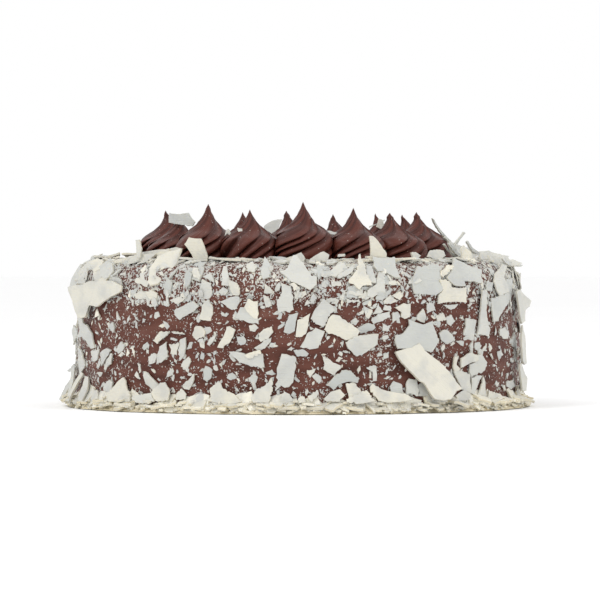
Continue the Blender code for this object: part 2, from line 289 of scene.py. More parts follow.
class Recipe:
    """A food's material while its nodes are laid out."""

    def __init__(self, name: str, roughness: float, gloss: float) -> None:
        """Starts a material with its shader.

        Args:
            name: The material's name.
            roughness: The shader's roughness.
            gloss: The shader's specular level.
        """
        self.material = bpy.data.materials.new(name)
        self.material.use_nodes = True
        self.tree = self.material.node_tree
        self.shader = self.tree.nodes["Principled BSDF"]
        self.shader.inputs["Roughness"].default_value = roughness
        self.shader.inputs["Specular IOR Level"].default_value = gloss
        self.place = self.add("ShaderNodeTexCoord").outputs["Object"]

    def add(self, kind: str, **settings: object) -> bpy.types.Node:
        """Adds a node and sets its own values, such as a mode, by name.

        Args:
            kind: The node's type.
            settings: Its own values.

        Returns:
            The node.
        """
        node = self.tree.nodes.new(kind)
        for name, value in settings.items():
            setattr(node, name, value)
        return node

    def link(self, source: Socket, target: Socket) -> None:
        """Joins two sockets."""
        self.tree.links.new(source, target)

    def attribute(self, name: str) -> Socket:
        """A number that the mesh holds at each point."""
        return self.add("ShaderNodeAttribute", attribute_name=name).outputs["Fac"]

    def noise(self, scale: float, detail: float = 3.0, stretch: tuple[float, float, float] = (1, 1, 1)
              ) -> Socket:
        """Cloudy noise over the piece.

        Args:
            scale: How many clouds there are to a metre.
            detail: How many finer octaves are laid over them.
            stretch: How much closer together they lie along each axis.

        Returns:
            A socket from 0 to 1.
        """
        mapping = self.add("ShaderNodeMapping")
        mapping.inputs["Scale"].default_value = stretch
        self.link(self.place, mapping.inputs["Vector"])
        clouds = self.add("ShaderNodeTexNoise")
        clouds.inputs["Scale"].default_value = scale
        clouds.inputs["Detail"].default_value = detail
        self.link(mapping.outputs["Vector"], clouds.inputs["Vector"])
        return clouds.outputs["Fac"]

    def grooves(self, source: Socket, scale: float, detail: float) -> Socket:
        """Fine parallel grooves that run at right angles to what a number measures.

        Args:
            source: The number.
            scale: How many grooves there are to one.
            detail: How many finer octaves are laid over them.

        Returns:
            A socket from 0 to 1.
        """
        lines = self.add("ShaderNodeTexNoise", noise_dimensions="1D")
        lines.inputs["Scale"].default_value = scale
        lines.inputs["Detail"].default_value = detail
        self.link(source, lines.inputs["W"])
        return lines.outputs["Fac"]

    def ramp(self, source: Socket, stops: tuple[tuple[float, Colour], ...]) -> Socket:
        """Colours along a number.

        Args:
            source: The number, from 0 to 1.
            stops: Places along it and the linear colour at each.

        Returns:
            The colour's socket.
        """
        node = self.add("ShaderNodeValToRGB")
        band = node.color_ramp
        while len(band.elements) < len(stops):
            band.elements.new(0.5)
        for element, (place, colour) in zip(band.elements, stops):
            element.position = place
            element.color = (*colour, 1.0)
        self.link(source, node.inputs["Fac"])
        return node.outputs["Color"]

    def span(self, source: Socket, start: tuple[float, float], end: tuple[float, float]) -> Socket:
        """Carries a number from one range to another, held at its ends.

        Args:
            source: The number.
            start: The range it comes from.
            end: The range it goes to.

        Returns:
            The carried number's socket.
        """
        node = self.add("ShaderNodeMapRange")
        node.inputs["From Min"].default_value, node.inputs["From Max"].default_value = start
        node.inputs["To Min"].default_value, node.inputs["To Max"].default_value = end
        self.link(source, node.inputs["Value"])
        return node.outputs["Result"]

    def blend(self, share: Socket, under: Socket, over: Colour) -> Socket:
        """Lays one colour over another.

        Args:
            share: How much of the upper colour shows.
            under: The lower colour.
            over: The upper colour.

        Returns:
            The blended colour's socket.
        """
        node = self.add("ShaderNodeMix", data_type="RGBA")
        factor, below, above = (socket for socket in node.inputs if socket.enabled)
        self.link(share, factor)
        self.link(under, below)
        above.default_value = (*over, 1.0)
        return next(socket for socket in node.outputs if socket.enabled)

    def bump(self, height: Socket, depth: float, strength: float,
             under: Socket | None = None) -> Socket:
        """Fine relief from a height.

        Args:
            height: The height's socket.
            depth: How deep the relief is.
            strength: How strongly it shows.
            under: The normal of coarser relief below it.

        Returns:
            The normal's socket.
        """
        node = self.add("ShaderNodeBump")
        node.inputs["Distance"].default_value = depth
        node.inputs["Strength"].default_value = strength
        self.link(height, node.inputs["Height"])
        if under:
            self.link(under, node.inputs["Normal"])
        return node.outputs["Normal"]

    def finish(self, colour: Socket, normal: Socket | None = None) -> Material:
        """Gives the shader its colour and its relief, and gives back the material.

        Args:
            colour: The colour's socket.
            normal: The relief's socket, if it has relief.

        Returns:
            The material.
        """
        self.link(colour, self.shader.inputs["Base Color"])
        if normal:
            self.link(normal, self.shader.inputs["Normal"])
        return self.material


@dataclass(frozen=True)
class IcingFinish:
    """Spread chocolate icing: matt brown, with darker streaks, pits and fine pale crumbs in it."""

    dark: Colour = (0.062, 0.022, 0.015)
    middle: Colour = (0.104, 0.038, 0.027)
    light: Colour = (0.135, 0.057, 0.042)
    fleck: Colour = (0.52, 0.50, 0.46)
    roughness: float = 0.55
    gloss: float = 0.16

    def make(self) -> Material:
        """Makes the material."""
        recipe = Recipe("cake_icing", self.roughness, self.gloss)
        streaks = recipe.noise(55.0, 5.0, (1.0, 1.0, 4.0))
        colour = recipe.ramp(streaks, ((0.30, self.dark), (0.52, self.middle), (0.75, self.light)))
        raised = recipe.add("ShaderNodeMath", operation="ADD")
        recipe.link(recipe.noise(1250.0, 2.5), raised.inputs[0])
        recipe.link(recipe.span(recipe.attribute("dust"), (0.0, 1.0), (-0.04, 0.20)), raised.inputs[1])
        specks = recipe.span(raised.outputs[0], (0.66, 0.70), (0.0, 0.92))
        colour = recipe.blend(specks, colour, self.fleck)
        coarse = recipe.bump(recipe.noise(420.0, 4.0), 0.0006, 0.55)
        fine = recipe.bump(recipe.noise(1900.0, 2.0), 0.00016, 0.5, coarse)
        return recipe.finish(colour, fine)


@dataclass(frozen=True)
class PipedFinish:
    """Piped chocolate icing: darker and smoother, with a soft gloss and streaks along its ridges, painted
    shade in its grooves and a painted highlight on its crests.
    """

    # Painted shade in the grooves, the plain flank colour, and a painted highlight on the crests
    groove_shade: Colour = (0.042, 0.0122, 0.0088)
    flank: Colour = (0.058, 0.0158, 0.0108)
    crest_highlight: Colour = (0.096, 0.0262, 0.0172)
    bloom: Colour = (0.116, 0.0410, 0.0308)
    fleck: Colour = (0.42, 0.37, 0.33)
    roughness: float = 0.37
    gloss: float = 0.22

    def make(self) -> Material:
        """Makes the material."""
        recipe = Recipe("piped_icing", self.roughness, self.gloss)
        # Painted shade and highlight: the colour darkens into the grooves between ridges and lightens on
        # their crests
        crest_highlight = recipe.attribute("crest_highlight")
        colour = recipe.ramp(crest_highlight, ((0.05, self.groove_shade), (0.62, self.flank), (0.99, self.crest_highlight)))
        streaks = recipe.grooves(recipe.attribute("streak"), 10.0, 4.0)
        colour = recipe.blend(recipe.span(streaks, (0.50, 0.72), (0.0, 0.55)), colour, self.bloom)
        flecks = recipe.span(recipe.noise(1150.0, 1.0), (0.735, 0.765), (0.0, 0.75))
        colour = recipe.blend(flecks, colour, self.fleck)
        lined = recipe.bump(streaks, 0.0006, 0.50)
        grained = recipe.bump(recipe.noise(1300.0, 3.0), 0.00022, 0.45, lined)
        return recipe.finish(colour, grained)


@dataclass(frozen=True)
class WhiteChocolateFinish:
    """Shaved white chocolate: grey-white to cream by flake, up to a painted lit cream, yellower at a broken
    rim as painted glow and shade, finely grooved.
    """

    cool: Colour = (0.450, 0.462, 0.438)
    plain: Colour = (0.540, 0.538, 0.496)
    warm: Colour = (0.632, 0.604, 0.512)
    # The brightest cream: painted light, which the foot flakes and bed are drawn near to offset the shade at
    # the foot
    painted_lit_cream: Colour = (0.790, 0.755, 0.640)
    shade: Colour = (0.425, 0.432, 0.420)
    # Painted glow and shade: the yellow laid on a broken rim
    rim: Colour = (0.600, 0.500, 0.290)
    roughness: float = 0.50
    gloss: float = 0.40
    glow: float = 0.12
    glow_reach: Colour = (1.0, 0.85, 0.55)
    glow_depth: float = 0.0012

    def make(self) -> Material:
        """Makes the material."""
        recipe = Recipe("white_chocolate", self.roughness, self.gloss)
        tones = ((0.0, self.cool), (0.52, self.plain), (0.88, self.warm), (1.0, self.painted_lit_cream))
        colour = recipe.ramp(recipe.attribute("tone"), tones)
        clouds = recipe.noise(130.0, 4.0)
        colour = recipe.blend(recipe.span(clouds, (0.45, 0.66), (0.0, 0.55)), colour, self.shade)
        # Painted glow and shade: broken rims are tinted yellow, standing in for light through the thin edges
        # and the shade under them
        half_rim_glow = recipe.span(recipe.attribute("rim"), (0.0, 2.0), (0.0, 1.0))
        rim = recipe.ramp(half_rim_glow, ((0.487, (0.0,) * 3), (0.500, (0.22,) * 3), (0.800, (0.85,) * 3)))
        colour = recipe.blend(rim, colour, self.rim)
        shaved = recipe.grooves(recipe.attribute("grain"), 1.6, 4.0)
        lined = recipe.bump(shaved, 0.00040, 0.42)
        dented = recipe.bump(recipe.noise(330.0, 3.0), 0.00060, 0.40, lined)
        grained = recipe.bump(recipe.noise(900.0, 4.0), 0.00022, 0.45, dented)
        sockets = recipe.shader.inputs
        sockets["Subsurface Weight"].default_value = self.glow
        sockets["Subsurface Radius"].default_value = self.glow_reach
        sockets["Subsurface Scale"].default_value = self.glow_depth
        return recipe.finish(colour, grained)


class Cut(Enum):
    """How a flake broke: the corners of its outline, in halves of its length and width."""

    PLATE = ((-1.0, -0.55), (-0.35, -1.0), (0.75, -0.85), (1.0, 0.15), (0.45, 0.95), (-0.7, 0.8))
    BLOCK = ((-1.0, -0.85), (0.9, -1.0), (1.0, 0.85), (-0.85, 1.0))
    SLANT = ((-1.0, -0.95), (0.55, -1.0), (1.0, 0.90), (-0.5, 1.0))
    WEDGE = ((-1.0, -0.15), (0.2, -0.85), (1.0, -0.9), (0.85, 0.85), (-0.1, 0.9), (-0.95, 0.2))
    TRIANGLE = ((-1.0, -0.75), (1.0, -0.85), (0.75, -0.2), (0.0, 1.0), (-0.45, 0.35))
    PENTAGON = ((-0.85, -0.8), (0.6, -1.0), (1.0, 0.05), (0.15, 1.0), (-1.0, 0.4))
    DIAMOND = ((-1.0, -0.1), (0.1, -1.0), (1.0, 0.1), (-0.1, 1.0))
    LEAF = ((-1.0, 0.0), (-0.45, -0.8), (0.35, -0.95), (1.0, 0.05), (0.4, 0.9), (-0.5, 0.75))
    STRIP = ((-1.0, -0.7), (0.1, -1.0), (1.0, -0.55), (0.92, 0.75), (-0.1, 1.0), (-0.95, 0.6))
    SHARD = ((-1.0, -0.15), (-0.2, -1.0), (1.0, -0.1), (0.1, 0.9))
    SPIKED = (
        (-1.0, -0.2), (-0.3, -0.45), (0.05, -1.0), (0.35, -0.4),
        (1.0, -0.3), (0.5, 0.3), (0.25, 1.0), (-0.3, 0.5),
    )
    FAN = ((-0.9, -0.5), (-0.2, -1.0), (0.8, -0.9), (1.0, -0.1), (0.55, 0.8), (-0.3, 1.0), (-1.0, 0.35))


class Grade(Enum):
    """How finely a flake is made: the points round its rim and the rings of points inside it."""

    BROAD = (52, (0.30, 0.60, 0.85, 0.985))
    LARGE = (26, (0.55, 0.982))
    MEDIUM = (16, (0.60, 0.97))
    SMALL = (8, (0.93,))
    TINY = (6, ())

    @property
    def points(self) -> int:
        """How many points go round the rim."""
        return self.value[0]

    @property
    def rings(self) -> tuple[float, ...]:
        """The size of each ring on a face, as a share of the rim."""
        return self.value[1]


@dataclass(frozen=True)
class Flake:
    """One broken plate, before it is placed: sizes in mm, angles in degrees."""

    length: float
    width: float
    cut: Cut = Cut.PLATE
    thickness: float = 0.6
    curl: float = 45.0
    curl_turn: float = 0.0
    raggedness: float = 0.075
    tone: float = 0.5


@dataclass(frozen=True)
class Lie:
    """How a flake lies on the icing: angles in degrees, lengths in mm."""

    lift: float
    turn: float = 0.0
    swing: float = 0.0
    sink: float = 0.3
    raised: float = 0.0


def drawn_tone(draws: random.Random, middle: float, spread: float) -> float:
    """How warm a flake's colour is, from 0 to 1, drawn round a middle value."""
    return min(1.0, max(0.0, draws.gauss(middle, spread)))


def anticlockwise(corners: np.ndarray) -> np.ndarray:
    """The corners of an outline, in anticlockwise order.

    Args:
        corners: The corners, a row each.

    Returns:
        The same corners, turned round where they ran clockwise.
    """
    after = np.roll(corners, -1, axis=0)
    turned = (corners[:, 0] * after[:, 1] - corners[:, 1] * after[:, 0]).sum()
    return corners[::-1] if turned < 0 else corners


def pixels(outline: tuple[float, ...]) -> Iterator[tuple[float, float]]:
    """The corners of an outline, a column and a row at a time."""
    return zip(outline[::2], outline[1::2])


def spin(*turns: tuple[str, float]) -> np.ndarray:
    """The matrix that turns rows of points about axes in degrees, the last turn first.

    Args:
        turns: Each turn's axis and angle.

    Returns:
        The matrix, for use on the right of the rows.
    """
    whole = Matrix.Identity(3)
    for axis, degrees in turns:
        whole = whole @ Matrix.Rotation(math.radians(degrees), 3, axis)
    return np.array(whole).T


@dataclass
class FlakeCutter:
    """Makes the points of flakes."""

    draws: random.Random
    corner_play: float = 0.10
    torn_share: float = 0.55
    wave_depth: float = 0.022
    face_depth: float = 0.00010

    def corners(self, flake: Flake) -> np.ndarray:
        """The corners of a flake's own cut in mm, each moved a little.

        Args:
            flake: The flake.

        Returns:
            The corners, a row each.
        """
        corners = []
        for x, y in flake.cut.value:
            play = [self.draws.uniform(-self.corner_play, self.corner_play) for _ in range(2)]
            corners.append(((x + play[0]) * flake.length / 2, (y + play[1]) * flake.width / 2))
        return np.array(corners)

    def broken_rim(self, corners: np.ndarray, points: int, raggedness: float) -> np.ndarray:
        """Breaks the straight edges between corners: some stay clean, and the rest are torn.

        Args:
            corners: The corners in mm, anticlockwise.
            points: How many points the rim has, corners among them.
            raggedness: How rough a torn edge is, as a share of its length.

        Returns:
            The points in metres.
        """
        edges = np.roll(corners, -1, axis=0) - corners
        lengths = np.hypot(edges[:, 0], edges[:, 1])
        spare = points - len(corners)
        shares = np.floor(spare * lengths / lengths.sum()).astype(int)
        order = np.argsort(-(spare * lengths / lengths.sum() - shares))
        shares[order[: spare - shares.sum()]] += 1
        rim = []
        for corner, edge, length, extra in zip(corners, edges, lengths, shares):
            across = np.array([edge[1], -edge[0]]) / max(length, 1e-6)
            bow = self.draws.uniform(-0.06, 0.05) * length
            torn = raggedness * min(length, 6.0) * (1.0 if self.draws.random() < self.torn_share else 0.2)
            for step in range(extra + 1):
                share = step / (extra + 1)
                rough = self.draws.uniform(-1, 1) * torn if step else 0.0
                rim.append(corner + edge * share + across * (rough + bow * 4 * share * (1 - share)))
        return np.array(rim) * MM

    def plate(self, flake: Flake, grade: Grade, corners: np.ndarray | None = None) -> np.ndarray:
        """All points of a flake, curled, round its own middle.

        Args:
            flake: The flake.
            grade: How finely it is made.
            corners: The corners of its outline in mm, where they aren't its cut's.

        Returns:
            The points, ordered as plate_faces expects them.
        """
        if corners is None:
            corners = self.corners(flake)
        rim = self.broken_rim(corners, grade.points, flake.raggedness)
        half = flake.thickness * MM / 2
        rings = [*((share, half) for share in grade.rings), (1.0, 0.0)]
        rings += [(share, -half) for share in reversed(grade.rings)]
        rows = [np.column_stack([rim * share, np.full(len(rim), height)]) for share, height in rings]
        flat = np.concatenate([[[0.0, 0.0, half]], *rows, [[0.0, 0.0, -half]]])
        reach = max(flake.length, flake.width) * MM / 2
        phase = [self.draws.uniform(0, math.tau) for _ in range(2)]
        waves = np.sin(flat[:, 0] / reach * 2.6 + phase[0]) * np.sin(flat[:, 1] / reach * 3.1 + phase[1])
        flat[:, 2] += waves * self.wave_depth * reach
        flat[:, 2] += self.uneven_face(flat)
        return self.curled(flat, flake)

    def uneven_face(self, flat: np.ndarray) -> np.ndarray:
        """Small hollows and rises in a broken face.

        Args:
            flat: The plate's points.

        Returns:
            How far each stands out, in metres.
        """
        shift = [self.draws.uniform(0, 50) for _ in range(2)]
        rise = np.empty(len(flat))
        for index, (x, y, z) in enumerate(flat):
            rise[index] = noise.noise(Vector((x * 400 + shift[0], y * 400 + shift[1], z * 300)))
        return rise * self.face_depth

    def curled(self, flat: np.ndarray, flake: Flake) -> np.ndarray:
        """Bends a flat plate round a cylinder.

        Args:
            flat: The plate's points.
            flake: The flake, whose curl is the cylinder's radius and may be negative.

        Returns:
            The bent points.
        """
        turn = math.radians(flake.curl_turn)
        along = flat[:, 0] * math.cos(turn) + flat[:, 1] * math.sin(turn)
        across = -flat[:, 0] * math.sin(turn) + flat[:, 1] * math.cos(turn)
        radius = flake.curl * MM
        bend = along / radius
        bent = (radius - flat[:, 2]) * np.sin(bend)
        rise = radius - (radius - flat[:, 2]) * np.cos(bend)
        x = bent * math.cos(turn) - across * math.sin(turn)
        y = bent * math.sin(turn) + across * math.cos(turn)
        return np.column_stack([x, y, rise])


def bands(count: int, rings: int, start: int = 0, flip: bool = False) -> list[np.ndarray]:
    """The triangles between closed rings of points that follow each other.

    Args:
        count: How many points a ring has.
        rings: How many rings there are.
        start: The number of the first ring's first point.
        flip: Whether the triangles face the other way.

    Returns:
        Two arrays of triangles for each band.
    """
    here = np.arange(count)
    after = (here + 1) % count
    faces = []
    for low in range(start, start + (rings - 1) * count, count):
        near, beside = low + here, low + after
        above, beyond = near + count, beside + count
        halves = ((near, above, beyond), (near, beyond, beside))
        if not flip:
            halves = ((near, beside, beyond), (near, beyond, above))
        faces += [np.column_stack(half) for half in halves]
    return faces


def closed_faces(count: int, rings: int) -> np.ndarray:
    """The triangles of stacked rings, closed by two points after them: the top's and the foot's.

    Args:
        count: How many points a ring has.
        rings: How many rings there are.

    Returns:
        The triangles, a row each.
    """
    here = np.arange(count)
    after = (here + 1) % count
    last = (rings - 1) * count
    top = np.full(count, rings * count)
    ends = np.column_stack([last + here, last + after, top]), np.column_stack([after, here, top + 1])
    return np.concatenate([*bands(count, rings), *ends])


def plate_faces(grade: Grade) -> np.ndarray:
    """The triangles of a flake: a fan, bands between rings down its rim, and a fan underneath.

    Args:
        grade: How finely the flake is made.

    Returns:
        The triangles, a row each.
    """
    count = grade.points
    here = np.arange(count)
    after = (here + 1) % count
    rings = 2 * len(grade.rings) + 1
    last = 1 + (rings - 1) * count
    upper = np.column_stack([np.zeros(count, int), 1 + here, 1 + after])
    lower = np.column_stack([last + here, np.full(count, last + count), last + after])
    return np.concatenate([upper, *bands(count, rings, 1, flip=True), lower])


def plate_rim(grade: Grade, broken: float) -> np.ndarray:
    """How near the rim each point of a flake is, from 0 in the middle to how broken the rim is, which sets
    the painted yellow rim glow and shade.
    """
    shares = [*grade.rings, broken, *reversed(grade.rings)]
    return np.concatenate([[0.0], np.repeat(shares, grade.points), [0.0]])


class Heap:
    """Gathers many small pieces of white chocolate into one mesh."""

    def __init__(self) -> None:
        """Starts an empty heap."""
        self.points: list[np.ndarray] = []
        self.faces: list[np.ndarray] = []
        self.values: dict[str, list[np.ndarray]] = {"tone": [], "rim": [], "grain": []}
        self.count = 0

    def add(self, points: np.ndarray, faces: np.ndarray, tone: float, rim: np.ndarray,
            grain: np.ndarray) -> None:
        """Adds one piece, held above the base.

        Args:
            points: Its points, in place.
            faces: Its triangles.
            tone: How warm its colour is, from 0 to 1.
            rim: How near the rim each point is, which sets its painted yellow rim glow and shade.
            grain: Where each point is across its shaved grooves, in mm.
        """
        points[:, 2] = np.maximum(points[:, 2], 0.0)
        self.points.append(points)
        self.faces.append(faces + self.count)
        self.values["tone"].append(np.full(len(points), tone))
        self.values["rim"].append(rim)
        self.values["grain"].append(grain)
        self.count += len(points)

    def add_plate(self, points: np.ndarray, grade: Grade, tone: float, grain: np.ndarray,
                  broken: float = 1.0) -> None:
        """Adds one flake.

        Args:
            points: Its points, in place.
            grade: How finely it is made.
            tone: How warm its colour is, from 0 to 1.
            grain: Where each point is across its shaved grooves, in mm.
            broken: How strongly its broken rim is painted yellow, as glow and shade.
        """
        self.add(points, plate_faces(grade), tone, plate_rim(grade, broken), grain)

    def build(self, name: str, material: Material) -> None:
        """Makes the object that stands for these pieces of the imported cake.

        Args:
            name: Its name.
            material: Its finish.
        """
        values = {key: np.concatenate(rows) for key, rows in self.values.items()}
        obj = mesh_object(name, np.concatenate(self.points), np.concatenate(self.faces), material, values)
        stand_for(obj, "white_chocolate", "cake")
        LOG.info("%s: %d pieces, %d triangles", name, len(self.points), len(obj.data.polygons))


def mesh_object(name: str, points: np.ndarray, faces: np.ndarray, material: Material,
                values: dict[str, np.ndarray] | None = None, sharp: float = 42.0) -> bpy.types.Object:
    """Makes an object from arrays.

    Args:
        name: Its name.
        points: Its points.
        faces: Its triangles, or its quads.
        material: Its finish.
        values: Numbers that its points hold, by name.
        sharp: The angle in degrees over which an edge stays sharp.

    Returns:
        The object, linked to the scene.
    """
    mesh = bpy.data.meshes.new(name)
    corners = faces.shape[1]
    mesh.vertices.add(len(points))
    mesh.vertices.foreach_set("co", points.astype(np.float32).ravel())
    mesh.loops.add(faces.size)
    mesh.loops.foreach_set("vertex_index", faces.astype(np.int32).ravel())
    mesh.polygons.add(len(faces))
    mesh.polygons.foreach_set("loop_start", np.arange(0, faces.size, corners, dtype=np.int32))
    mesh.update(calc_edges=True)
    mesh.validate()
    for key, numbers in (values or {}).items():
        held = mesh.attributes.new(key, "FLOAT", "POINT")
        held.data.foreach_set("value", numbers.astype(np.float32))
    mesh.materials.append(material)
    mesh.shade_smooth()
    mesh.set_sharp_from_angle(angle=math.radians(sharp))
    obj = bpy.data.objects.new(name, mesh)
    bpy.context.scene.collection.objects.link(obj)
    return obj


def stand_for(piece: bpy.types.Object, slot: str, *nodes: str) -> None:
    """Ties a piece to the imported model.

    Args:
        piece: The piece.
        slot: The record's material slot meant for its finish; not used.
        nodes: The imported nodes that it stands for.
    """
    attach(piece, BODY)
    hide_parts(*nodes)


@dataclass
class IcedBody:
    """The icing's skin, from under the flakes at the foot to the middle of the top."""

    cake: CakeShape
    steps_round: int = 400
    steps_along: int = 90

    def build(self, finish: IcingFinish) -> None:
        """Makes the skin, closed at the base.

        Args:
            finish: The icing's finish.
        """
        azimuth = np.arange(self.steps_round) * 360.0 / self.steps_round
        along = np.linspace(0.0, self.cake.length - 0.0008, self.steps_along)
        around, rise = np.meshgrid(azimuth, along)
        points, normals = self.cake.places(around.ravel(), rise.ravel())
        points = points + normals * self.cake.relief(points)[:, None]
        points[: self.steps_round, 2] = 0.0
        points = np.concatenate([points, [[0.0, 0.0, self.cake.height], [0.0, 0.0, 0.0]]])
        faces = closed_faces(self.steps_round, self.steps_along)
        values = {"dust": self.dust(points)}
        obj = mesh_object("iced_body", points, faces, finish.make(), values, sharp=70.0)
        stand_for(obj, "cake_icing", "cake")
        LOG.info("iced_body: %d triangles", len(faces))

    def dust(self, points: np.ndarray) -> np.ndarray:
        """How thickly fine white crumbs lie at each point: most at the shoulder, in patches below.

        Args:
            points: The points, a row each.

        Returns:
            A share from 0 to 1 for each.
        """
        dusted = np.empty(len(points))
        for index, (x, y, z) in enumerate(points):
            cloud = noise.noise(Vector((x * 55, y * 55, z * 55))) + 0.6 * noise.noise(Vector((x, y, z)) * 170)
            band = max(0.0, min(1.0, (z - 0.046) / 0.010)) + 0.45 * max(0.0, 1 - z / 0.010)
            dusted[index] = 0.18 + 0.52 * band + 0.55 * cloud
        return np.clip(dusted, 0.0, 1.0)


class Tip(Enum):
    """How the icing pulled away at a swirl's top: how thick a knob it left and how far it bends, in mm."""

    FINE = (0.05, 0.20)
    BENT = (0.22, 1.30)
    BLUNT = (0.55, 0.40)


@dataclass(frozen=True)
class PipedSwirl:
    """One swirl: ridges that climb round it to its tip. Sizes in mm, angles in degrees."""

    number: int
    azimuth: float
    height: float
    radius: float
    tip: Tip
    tip_shift: float
    start: float
    ridges: int
    steepness: float
    fullness: float


@dataclass
class SwirlRing:
    """The ring of piped swirls on the top."""

    cake: CakeShape
    ring_radius: float = 0.060
    first_azimuth: float = 2.3
    swirl_radius_mm: float = 12.5
    ridge_depth: float = 0.23
    ridge_droop_mm: float = 1.7
    lump_mm: float = 0.42
    fine_lump_mm: float = 0.13
    seam_softness: float = 0.0006
    steps_round: int = 120
    steps_up: int = 50
    foot_sink: float = 0.0009
    tip_rise: float = 0.0003
    swell: float = 0.03
    heights_mm: tuple[float, ...] = (
        26.6, 24.0, 22.0, 22.6, 20.5, 22.1, 22.9, 22.7,
        24.4, 23.7, 23.0, 21.5, 23.6, 20.8, 25.9, 23.3,
    )
    tip_shifts_mm: tuple[float, ...] = (
        0.0, -0.6, -2.9, -2.5, -5.0, -5.7, -4.1, -5.4, -3.6, -1.2, 0.8, -0.7, -0.2, 0.6, 0.2, -0.9,
    )
    ridge_counts: tuple[int, ...] = (8, 8, 9, 8, 9, 8, 7, 8, 9, 8, 8, 9, 7, 8, 7, 9)
    steepness: tuple[float, ...] = (
        0.95, 1.05, 1.2, 0.9, 1.0, 1.1, 0.9, 1.2, 1.0, 1.1, 0.9, 1.0, 1.15, 0.95, 1.1, 1.5,
    )
    tips: tuple[Tip, ...] = (
        Tip.FINE, Tip.FINE, Tip.BLUNT, Tip.BLUNT, Tip.FINE, Tip.BENT, Tip.FINE, Tip.BENT,
        Tip.BLUNT, Tip.FINE, Tip.BENT, Tip.FINE, Tip.BENT, Tip.BLUNT, Tip.BENT, Tip.FINE,
    )
    shape: Pairs = (
        (0.00, 0.98), (0.06, 1.06), (0.14, 1.11), (0.36, 1.12), (0.45, 1.08), (0.51, 0.96), (0.56, 0.77),
        (0.61, 0.59), (0.67, 0.43), (0.76, 0.285), (0.85, 0.18), (0.93, 0.095), (1.00, 0.035),
    )
    slopes: Pairs = (
        (0.00, 74.0), (0.05, 60.0), (0.11, 36.0), (0.17, 23.0), (0.40, 21.0), (0.55, 30.0), (0.70, 50.0),
        (0.85, 66.0), (1.00, 74.0),
    )
    depths: Pairs = (
        (0.00, 0.85), (0.10, 1.00), (0.44, 1.00), (0.52, 0.72), (0.60, 0.30), (0.70, 0.14), (1.00, 0.08),
    )
    ridge_shape: Pairs = (
        (0.00, 0.00), (0.08, 0.26), (0.18, 0.58), (0.32, 0.87), (0.46, 1.00), (0.62, 1.00), (0.78, 0.86),
        (0.90, 0.52), (0.96, 0.20), (1.00, 0.00),
    )
    draws: random.Random = field(default_factory=lambda: random.Random(SEED + 7))

    def swirls(self) -> list[PipedSwirl]:
        """The swirls, from the front one round towards +X."""
        made = []
        count = len(self.heights_mm)
        for index, height in enumerate(self.heights_mm):
            made.append(PipedSwirl(
                number=index + 1,
                azimuth=self.first_azimuth + index * 360.0 / count,
                height=height,
                radius=self.swirl_radius_mm + self.draws.uniform(-0.35, 0.35),
                tip=self.tips[index],
                tip_shift=self.tip_shifts_mm[index],
                start=self.draws.uniform(0, 45),
                ridges=self.ridge_counts[index],
                steepness=self.steepness[index],
                fullness=self.draws.uniform(1.00, 1.12),
            ))
        return made

    def build(self, finish: PipedFinish) -> None:
        """Makes every swirl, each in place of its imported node.

        Args:
            finish: The piped icing's finish.
        """
        material = finish.make()
        faces = closed_faces(self.steps_round, self.steps_up)
        for swirl in self.swirls():
            points, crest_highlight, streak = self.swirl_points(swirl)
            values = {"crest_highlight": crest_highlight, "streak": streak}
            obj = mesh_object(f"piped_swirl_{swirl.number:02d}", points, faces, material, values, sharp=75.0)
            stand_for(obj, "piped_icing", f"swirl_{swirl.number:02d}")
            LOG.info("%s: %d triangles", obj.name, len(faces))

    def swirl_points(self, swirl: PipedSwirl) -> tuple[np.ndarray, np.ndarray, np.ndarray]:
        """The points of one swirl, in place.

        Args:
            swirl: The swirl.

        Returns:
            The points, how near each is to a ridge's crest, which sets the painted groove shade and crest
            highlight, and where it is across the streaks.
        """
        draws = random.Random(SEED + 31 * swirl.number)
        shares = np.linspace(0.0, 1.0, self.steps_up) ** 0.92
        fuller = shares ** swirl.fullness
        wide = self.smooth(fuller, self.shape) * swirl.radius * MM
        knob, bend = swirl.tip.value
        wide += knob * MM * np.exp(-(((shares - 0.965) / 0.035) ** 2))
        slope = np.radians(np.interp(shares, *zip(*self.slopes)))
        slope = np.arctan(np.tan(slope) * swirl.steepness)
        rise = np.gradient(shares) * swirl.height * MM
        twist = np.cumsum(rise / (np.maximum(wide, 0.0017) * np.tan(slope)))
        around = np.arange(self.steps_round) * math.tau / self.steps_round
        turns = around / math.tau * swirl.ridges
        for waves, most in ((2, 0.22), (3, 0.14), (5, 0.06)):
            turns = turns + most * np.sin(around * waves + draws.uniform(0, 6))
        wander = 0.16 * np.sin(shares[:, None] * 9 + 2 * around[None, :] + draws.uniform(0, 6))
        phase = turns[None, :] + wander
        arch = self.ridge(phase)
        depth = (np.interp(shares, *zip(*self.depths)) * self.ridge_depth)[:, None]
        angle = around[None, :] + twist[:, None] + math.radians(swirl.start)
        reach = wide[:, None] * (1 + self.swell - depth * (1 - arch))
        height = shares[:, None] * swirl.height * MM - self.foot_sink + np.zeros_like(reach)
        droop = np.interp(shares, (0.0, 0.10, 0.30, 0.60, 1.0), (0.0, 0.5, 1.0, 0.7, 0.0))
        height -= (droop * self.ridge_droop_mm * MM)[:, None] * (arch - 0.4)
        offset = self.tip_path(swirl, shares, bend, draws)
        x = np.cos(angle) * reach + offset[:, :1]
        y = np.sin(angle) * reach + offset[:, 1:]
        local = self.roughened(np.stack([x, y, height], axis=2).reshape(-1, 3), draws)
        ends = [[*offset[-1], swirl.height * MM + self.tip_rise], [0.0, 0.0, -self.foot_sink]]
        local = np.concatenate([local, ends])
        turn = math.radians(swirl.azimuth)
        centre = np.array([math.sin(turn), -math.cos(turn)]) * self.ring_radius
        points = local + np.array([*centre, self.cake.height])
        points = self.pressed(points, turn)
